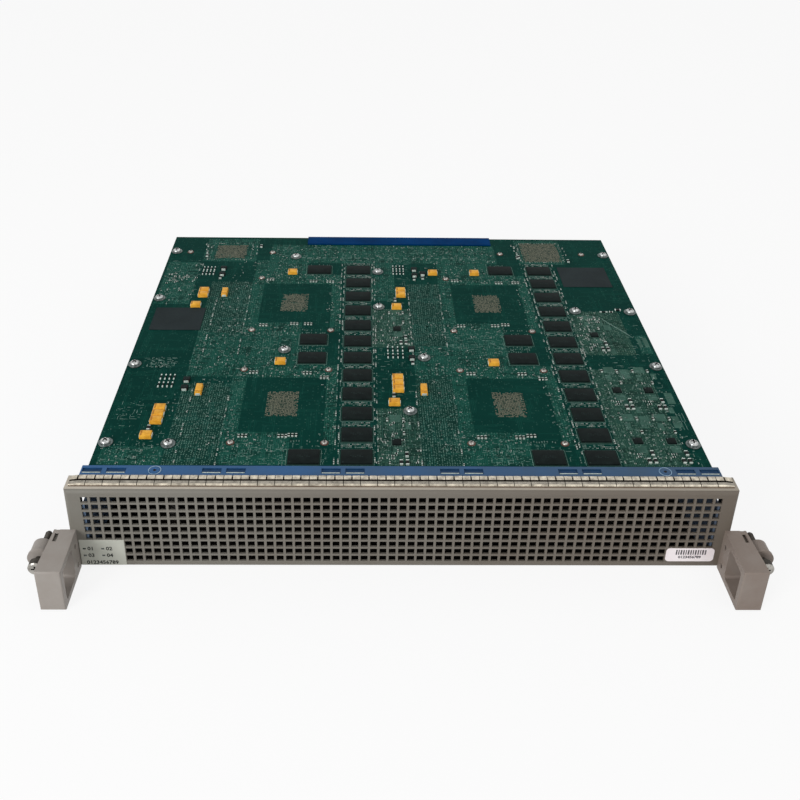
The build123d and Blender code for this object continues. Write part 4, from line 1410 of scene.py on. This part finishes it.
    def corner_chips(self, shape: BMesh, draw: random.Random) -> None:
        """Rings each rear chip's via field with small parts, and sets larger ones beside it.

        Args:
            shape: the shape that takes them.
            draw: the seeded source of numbers.
        """
        for middle_x, middle_y, half_x, half_y in self.rear_chips:
            for step in range(self.ring_parts):
                angle = math.tau * step / self.ring_parts
                across = max(-1.0, min(1.0, self.ring_square * math.cos(angle)))
                along = max(-1.0, min(1.0, self.ring_square * math.sin(angle)))
                kind = draw.choice((TINY, DULL, DULL))
                if draw.random() < 0.75:
                    x = middle_x + across * half_x + draw.uniform(-0.6, 0.6)
                    y = middle_y + along * half_y + draw.uniform(-0.6, 0.6)
                    self.place_part(shape, kind, x, y, draw.choice((0.0, 90.0)))
            for kind, x, y in self.rear_parts:
                self.place_part(shape, kind, middle_x + x, middle_y + y)

    def scatter(self, shape: BMesh, draw: random.Random, area: Area, count: int,
                kinds: Sequence[PartKind]) -> None:
        """Strews chip parts over an area, lined up with the board's sides and on a half-millimetre grid.

        Args:
            shape: the shape that takes them.
            draw: the seeded source of numbers.
            area: where they go.
            count: how many are tried.
            kinds: which kinds to draw from.
        """
        for _ in range(count):
            x = round(draw.uniform(area.left, area.right) * 2) / 2
            y = round(draw.uniform(area.front, area.rear) * 2) / 2
            self.place_part(shape, draw.choice(kinds), x, y, draw.choice((0.0, 90.0)))

    def build(self) -> None:
        """Builds two pieces: the parts in rows and groups, and the loose ones between them."""
        draw = random.Random(self.seed)
        rows = bmesh.new()
        self.groups(rows)
        self.supply_cells(rows)
        self.corner_chips(rows, draw)
        for kind, x, y in self.single_parts:
            self.place_part(rows, kind, x, y, 90.0)
        self.capacitor_columns(rows, draw)
        self.memory_rows(rows, draw)
        loose = bmesh.new()
        for area, count, kinds in self.scattered:
            self.scatter(loose, draw, area, count, kinds)
        for x, y in self.processors:
            for area, count in self.round_processors:
                self.scatter(loose, draw, area.moved(x, y), count, PLAIN_PARTS)
        for name, shape in (("chip_parts_rows", rows), ("chip_parts_loose", loose)):
            finish_piece(name, shape, [PART_BODY, SOLDER, PART_DARK, PART_DULL], "ferrite")


@dataclass
class BoardDetail:
    """Everything small on the board: routed areas, via fields, chip parts and printed lines."""

    frame: Frame
    processors: Rows = ((-73.5, 82), (-73.5, 208.2), (70.2, 82), (70.2, 208.2))
    supplies: Rows = ((142.2, 98.3), (162.8, 98.3), (142.6, 46.3), (162.9, 46.3), (141.8, 165.4),
                      (1.7, 172.3), (-2.5, 44.2))
    # Sides of copper areas: round a supply, and along the board's right margin
    copper: Rows = ((-2.3, -10.5, 3.7, -4.3), (-4, 11, -0.5, 18), (6, 13, 9.4, 19.5), (-3.6, 20, 3.2, 27),
                    (7.2, -24, 10.6, -18))
    margin_copper: Rows = (
        (171.8, 84, 176.8, 96), (170.6, 150, 173, 161), (174.6, 150, 177.8, 162), (138.9, 119.5, 145.6, 124),
        (149, 112, 155.2, 122.5), (158.6, 118.5, 165.4, 123.5), (138.6, 68.5, 145.8, 73),
        (149.2, 62, 155.4, 71), (158.8, 66.5, 165.2, 72), (169.4, 60, 174, 71), (151, 172, 156, 179),
        (135.5, 186, 141, 192), (144, 185, 150, 192))
    olive: Rows = ((129, 23, 168, 122), (129, 140, 166, 198), (-14, 23, 12, 78), (-16, 148, 12, 200))
    busy: Rows = (
        (-98, 272, 86, 304), (-178, 206, -152, 272), (-139, 112, -108, 166), (-176, 23, -140, 40),
        (-152, 274, -109, 314), (104, 272, 142, 314), (12, 110, 40, 150), (-16, 212, 2, 272),
        (170, 142, 178, 165))
    busy_round_processor: Rows = ((-34.5, -46, -25, 44), (-34, -58.5, 7, -28), (-25, 29, 34, 44),
                                  (-34, 44, 7, 68), (27, -40, 34.5, 29))
    via_farms: Rows = ((-139, 23, -108, 104), (-139, 166, -108, 240), (12, 23, 37, 110), (12, 150, 45, 238))
    front_limit: float = 22.6
    right_limit: float = 179.0
    patch_height: float = 0.01
    patch_step: float = 0.0005
    copper_rise: float = 0.016
    # Via fields: middle, width, length and how many outer rows are ragged
    processor_field: Three = (20.5, 26.0, 3.0)
    field_offset: float = 0.6
    rear_fields: Rows = ((-130.3, 291, 25.8, 24, 1), (123.8, 293, 31.8, 34, 2))
    field_pitch: float = 1.0
    tile: Three = (0.66, 0.62, 0.07)
    cell_height: float = 0.03
    # Printed lines: one dash, its gap to a chip, and the areas that get dashes, each with how many
    dash: Three = (1.0, 0.22, 0.035)
    outline_gap: float = 0.7
    dashed: Rows = (
        (-176, 24, -140, 60, 90), (-176, 66, -160, 84, 40), (-170, 122, -148, 134, 60),
        (-100, 24, -44, 44, 150), (44, 24, 100, 44, 150), (-104, 144, -50, 168, 150), (36, 144, 94, 168, 150),
        (129, 24, 176, 200, 320), (-176, 210, -150, 275, 120), (-96, 274, 84, 303, 200),
        (-14, 24, 14, 272, 260), (-140, 24, -100, 240, 240))
    seed: int = 5

    def routed_areas(self) -> None:
        """Lays thin patches of busier solder mask where the board is routed or drilled densely."""
        busy = [Area(*sides) for sides in self.busy]
        busy += [Area(*sides).moved(x, y) for x, y in self.processors for sides in self.busy_round_processor]
        pours = [Area(*sides).moved(x, y) for x, y in self.supplies for sides in self.copper]
        pours += [Area(*sides) for sides in self.margin_copper]
        pours = [area for area in pours if area.front > self.front_limit and area.right < self.right_limit]
        for name, areas, finish, raised in (
                ("routed_patches", busy, MASK_ROUTED, 0.0),
                ("via_patches", [Area(*sides) for sides in self.via_farms], MASK_VIAS, 0.0),
                ("olive_patches", [Area(*sides) for sides in self.olive], MASK_OLIVE, 0.0),
                ("copper_pours", pours, COPPER_POUR, self.copper_rise)):
            shape = bmesh.new()
            for index, area in enumerate(areas):
                patch = block(area.right - area.left, area.rear - area.front,
                              self.patch_height + raised + self.patch_step * index)
                join(shape, patch, self.frame.on_board((area.left + area.right) / 2,
                                                       (area.front + area.rear) / 2))
            finish_piece(name, shape, [finish], "board_mask")

    def ball_fields(self) -> None:
        """Builds the tan fields of vias under each processor, with ragged edges of missing tiles."""
        shape = bmesh.new()
        draw = random.Random(self.seed + 1)
        pitch = self.field_pitch
        tile = pattern_of(block(*self.tile, body_index=1))
        cell = pattern_of(block(pitch, pitch, self.cell_height))
        fields = [(x, y + self.field_offset, *self.processor_field) for x, y in self.processors]
        for middle_x, middle_y, width, length, ragged in (*fields, *self.rear_fields):
            columns = int(width / pitch)
            rows = int(length / pitch)
            for column in range(columns):
                for row in range(rows):
                    edge = min(column, row, columns - 1 - column, rows - 1 - row)
                    if edge < ragged and draw.random() < 0.4 - 0.13 * edge:
                        continue
                    place = self.frame.on_board(middle_x + (column - (columns - 1) / 2) * pitch,
                                                middle_y + (row - (rows - 1) / 2) * pitch)
                    stamp(shape, cell, [place])
                    if draw.random() < 0.8:
                        stamp(shape, tile, [place])
        finish_piece("processor_via_fields", shape, [BALL_BASE, BALL_TILE], "board_mask")

    def print_lines(self, parts: ChipParts) -> None:
        """Prints short pale lines and outlines round the parts, as thin raised ink.

        Args:
            parts: the chip parts, which know where the board is free.
        """
        shape = bmesh.new()
        draw = random.Random(self.seed + 2)
        dash = pattern_of(block(*self.dash))
        gap = self.outline_gap
        for solid in self.frame.solids("memory_column_left", "memory_column_right", "side_memory"):
            size = solid.size
            for x, y, length, turn in ((0.0, size.y / 2 + gap, size.x + 2 * gap, 0.0),
                                       (0.0, -size.y / 2 - gap, size.x + 2 * gap, 0.0),
                                       (size.x / 2 + gap, 0.0, size.y, 90.0),
                                       (-size.x / 2 - gap, 0.0, size.y, 90.0)):
                stamp(shape, dash, [solid.foot(turn, x, y) @ Matrix.Diagonal((length, 1.0, 1.0, 1.0))])
        for left, front, right, rear, count in self.dashed:
            for _ in range(count):
                x = draw.uniform(left, right)
                y = draw.uniform(front, rear)
                length = draw.choice((0.8, 1.2, 2.0, 3.4))
                if parts.free(x, y, length / 2 + 0.3):
                    turn = draw.choice((0.0, 0.0, 90.0))
                    place = self.frame.on_board(x, y, turn) @ Matrix.Diagonal((length, 1.0, 1.0, 1.0))
                    stamp(shape, dash, [place])
        on_board = self.frame.on_board
        # Strokes that stand for the board's name, slanting tracks at the right, and marks by its edge
        strokes = [on_board(-78.0 + 6.4 * index + draw.uniform(-1.5, 1.5), 281.0) for index in range(24)]
        slants = [on_board(153.0 + 1.5 * index, 186.0 - 2.2 * index, 118.0) for index in range(10)]
        marks = [on_board(172.4 + 1.0 * index, 62.0 + 8.0 * (index % 2), 90.0) for index in range(6)]
        for places, stretch in ((strokes, (3.2, 3.4, 1.0, 1.0)), (slants + marks, (9.0, 0.9, 1.0, 1.0))):
            stamp(shape, dash, [place @ Matrix.Diagonal(stretch) for place in places])
        finish_piece("printed_lines", shape, [SILK], "legend_print")

    def build(self) -> None:
        """Builds the board's detail in order."""
        parts = ChipParts(self.frame, self.processors, self.supplies)
        parts.read_taken()
        self.routed_areas()
        self.ball_fields()
        parts.build()
        self.print_lines(parts)


@dataclass
class FacePrint:
    """Generic print on the face: numerals at the light pipes, and bars and digits on the label."""

    frame: Frame
    digits: str = "0123456789"
    digit_height: float = 2.6
    label_digit_height: float = 1.9
    numeral_offset: float = 3.6
    legend_digits: Pair = (4.2, 3.4)
    label_digits_z: float = 3.2
    print_depth: float = 0.02
    bar_widths: tuple[float, ...] = (0.8, 0.65, 0.95)
    bar_gap: float = 0.6
    bar_height: float = 3.6
    bars_low: float = 5.1
    bars_inset: Pair = (5.6, 5.0)

    def build(self) -> None:
        """Prints the legend's numerals and the label's bars."""
        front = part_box("legend_overlay")[0].y / MM - self.print_depth
        shape = bmesh.new()
        pipes = sorted(self.frame.solids("light_pipes"), key=lambda pipe: (-pipe.low.z, pipe.low.x))
        middle_x = sum((pipe.low.x + pipe.high.x) / 2 for pipe in pipes) / len(pipes)
        for index, pipe in enumerate(pipes):
            stamp(shape, written(f"{index + 1:02d}", self.digit_height), [Matrix.Translation(
                ((pipe.low.x + pipe.high.x) / 2 + self.numeral_offset, front,
                 (pipe.low.z + pipe.high.z) / 2))])
        offset, height = self.legend_digits
        stamp(shape, written(self.digits, self.digit_height),
              [Matrix.Translation((middle_x + offset, front, height))])
        finish_piece("legend_numerals", shape, [INK], "legend_print")
        low, high = (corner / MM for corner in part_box("bar_label"))
        bars = bmesh.new()
        x = low.x + self.bars_inset[0]
        index = 0
        while x < high.x - self.bars_inset[1]:
            width = self.bar_widths[index % len(self.bar_widths)]
            join(bars, block(width, 2 * self.print_depth, self.bar_height),
                 Matrix.Translation((x + width / 2, low.y - self.print_depth / 2, low.z + self.bars_low)))
            x += width + self.bar_gap
            index += 1
        stamp(bars, written(self.digits, self.label_digit_height), [Matrix.Translation(
            ((low.x + high.x) / 2, low.y - self.print_depth, low.z + self.label_digits_z))])
        finish_piece("label_bars", bars, [BAR_INK], "label_paper")


@dataclass
class RearEnd:
    """Contacts inside the backplane connectors."""

    frame: Frame
    contact: Three = (0.4, 6.5, 0.7)
    columns: int = 16
    rows: int = 6
    # The first contact's place from the side and the underside, and what the walls take of each size
    side_wall: float = 4.0
    lower_wall: float = 3.6
    walls: float = 8.0
    depth: float = 14.0

    def build(self) -> None:
        """Fills each connector's cavity with a field of contacts."""
        shape = bmesh.new()
        pin = pattern_of(block(*self.contact))
        for index in (1, 2, 3):
            low, high = (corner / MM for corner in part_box(f"backplane_connector_{index}"))
            y = high.y - self.depth + self.contact[1] / 2
            stamp(shape, pin, [
                at(low.x + self.side_wall + column * (high.x - low.x - self.walls) / (self.columns - 1), y,
                   low.z + self.lower_wall + row * (high.z - low.z - self.walls) / (self.rows - 1))
                for column in range(self.columns) for row in range(self.rows)])
        finish_piece("connector_contacts", shape, [GOLD_CONTACT], "connector_plastic")


@dataclass
class Studio:
    """Plain pale floor, soft light and the camera at the photograph's angle."""

    location: Three = (-0.02555, -0.56075, 0.42145)
    pitch_down: float = 0.4637
    yaw: float = -0.0198
    roll: float = 0.0163
    lens: float = 43.6
    sensor: float = 36.0
    shift: Pair = (0.0292, -0.2)
    nearest: float = 0.01
    floor_size: float = 8.0
    floor_colour: str = "#ececec"
    floor_glow: float = 0.86
    sky: float = 0.62
    white: str = "#ffffff"
    # Each lamp's name, place, size and power
    lamps: tuple[tuple[str, tuple[float, float, float], float, float], ...] = (
        ("key_lamp", (-1.1, -1.3, 0.75), 0.7, 17.0), ("fill_lamp", (0.9, -0.5, 1.5), 1.2, 3.0))

    def seeing_rays(self, tree: Tree) -> Node:
        """Picks out the rays that see the pale background: the camera's, and those in metal and glass.

        Args:
            tree: the node tree of the floor's material or of the world.

        Returns:
            The node that gives 1 for those rays and 0 for the others.
        """
        ray = add_node(tree, "ShaderNodeLightPath")
        seen = ray.outputs["Is Camera Ray"]
        for name in ("Is Glossy Ray", "Is Transmission Ray"):
            seen = add_node(tree, "ShaderNodeMath", {"operation": "MAXIMUM"}, {0: seen, 1: ray.outputs[name]})
        return seen

    def floor(self) -> None:
        """Makes the floor, which shows white to the camera but keeps the object's shadow."""
        shape = bmesh.new()
        bmesh.ops.create_grid(shape, x_segments=1, y_segments=1, size=self.floor_size / 2)
        mesh = bpy.data.meshes.new("studio_floor")
        shape.to_mesh(mesh)
        shape.free()
        floor = placed("studio_floor", mesh)
        material = bpy.data.materials.new("pale_floor")
        material.use_nodes = True
        tree = material.node_tree
        tree.nodes.clear()
        matt = add_node(tree, "ShaderNodeBsdfDiffuse", inputs={"Color": linear(self.floor_colour)})
        glow = add_node(tree, "ShaderNodeEmission", inputs={"Color": linear(self.white), "Strength": 1.0})
        share = add_node(tree, "ShaderNodeMath", {"operation": "MULTIPLY"}, {
            0: self.seeing_rays(tree), 1: self.floor_glow})
        mixed = add_node(tree, "ShaderNodeMixShader", inputs={0: share, 1: matt, 2: glow})
        add_node(tree, "ShaderNodeOutputMaterial", inputs={"Surface": mixed})
        mesh.materials.append(material)

    def light(self) -> None:
        """Sets a pale even world, white to the camera, and two soft lamps."""
        world = bpy.data.worlds.new("studio_world")
        bpy.context.scene.world = world
        world.use_nodes = True
        tree = world.node_tree
        tree.nodes.clear()
        strength = add_node(tree, "ShaderNodeMapRange", inputs={
            "Value": self.seeing_rays(tree), "To Min": self.sky, "To Max": 1.0})
        background = add_node(tree, "ShaderNodeBackground", inputs={
            "Color": linear(self.white), "Strength": strength})
        add_node(tree, "ShaderNodeOutputWorld", inputs={"Surface": background})
        for name, place, size, power in self.lamps:
            data = bpy.data.lights.new(name, "AREA")
            data.shape = "SQUARE"
            data.size = size
            data.energy = power
            lamp = placed(name, data)
            lamp.location = place
            lamp.rotation_euler = Vector(place).to_track_quat("Z", "Y").to_euler()

    def camera(self) -> None:
        """Sets the camera where the photograph's perspective puts it."""
        data = bpy.data.cameras.new("photo_camera")
        data.sensor_width = self.sensor
        data.sensor_fit = "HORIZONTAL"
        data.lens = self.lens
        data.shift_x, data.shift_y = self.shift
        data.clip_start = self.nearest
        camera = placed("photo_camera", data)
        turn = (Matrix.Rotation(self.yaw, 4, "Z") @ Matrix.Rotation(math.pi / 2 - self.pitch_down, 4, "X")
                @ Matrix.Rotation(self.roll, 4, "Z"))
        camera.matrix_world = Matrix.Translation(self.location) @ turn
        bpy.context.scene.camera = camera

    def build(self) -> None:
        """Sets up the studio."""
        self.floor()
        self.light()
        self.camera()
        bpy.context.scene.view_settings.view_transform = "Standard"


def main() -> None:
    """Loads the frame and builds every sub-assembly in order."""
    logging.basicConfig(level=logging.INFO, format="%(message)s")
    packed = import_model()
    frame = Frame(packed["nodes"])
    frame.read()
    for assembly in (Studio(), Castings(frame, packed["record"]), BoardDetail(frame), FingerGasket(frame),
                     Stiffener(frame), Screws(frame), Packages(frame), FacePrint(frame), RearEnd(frame)):
        assembly.build()


if __name__ == "__main__":
    main()
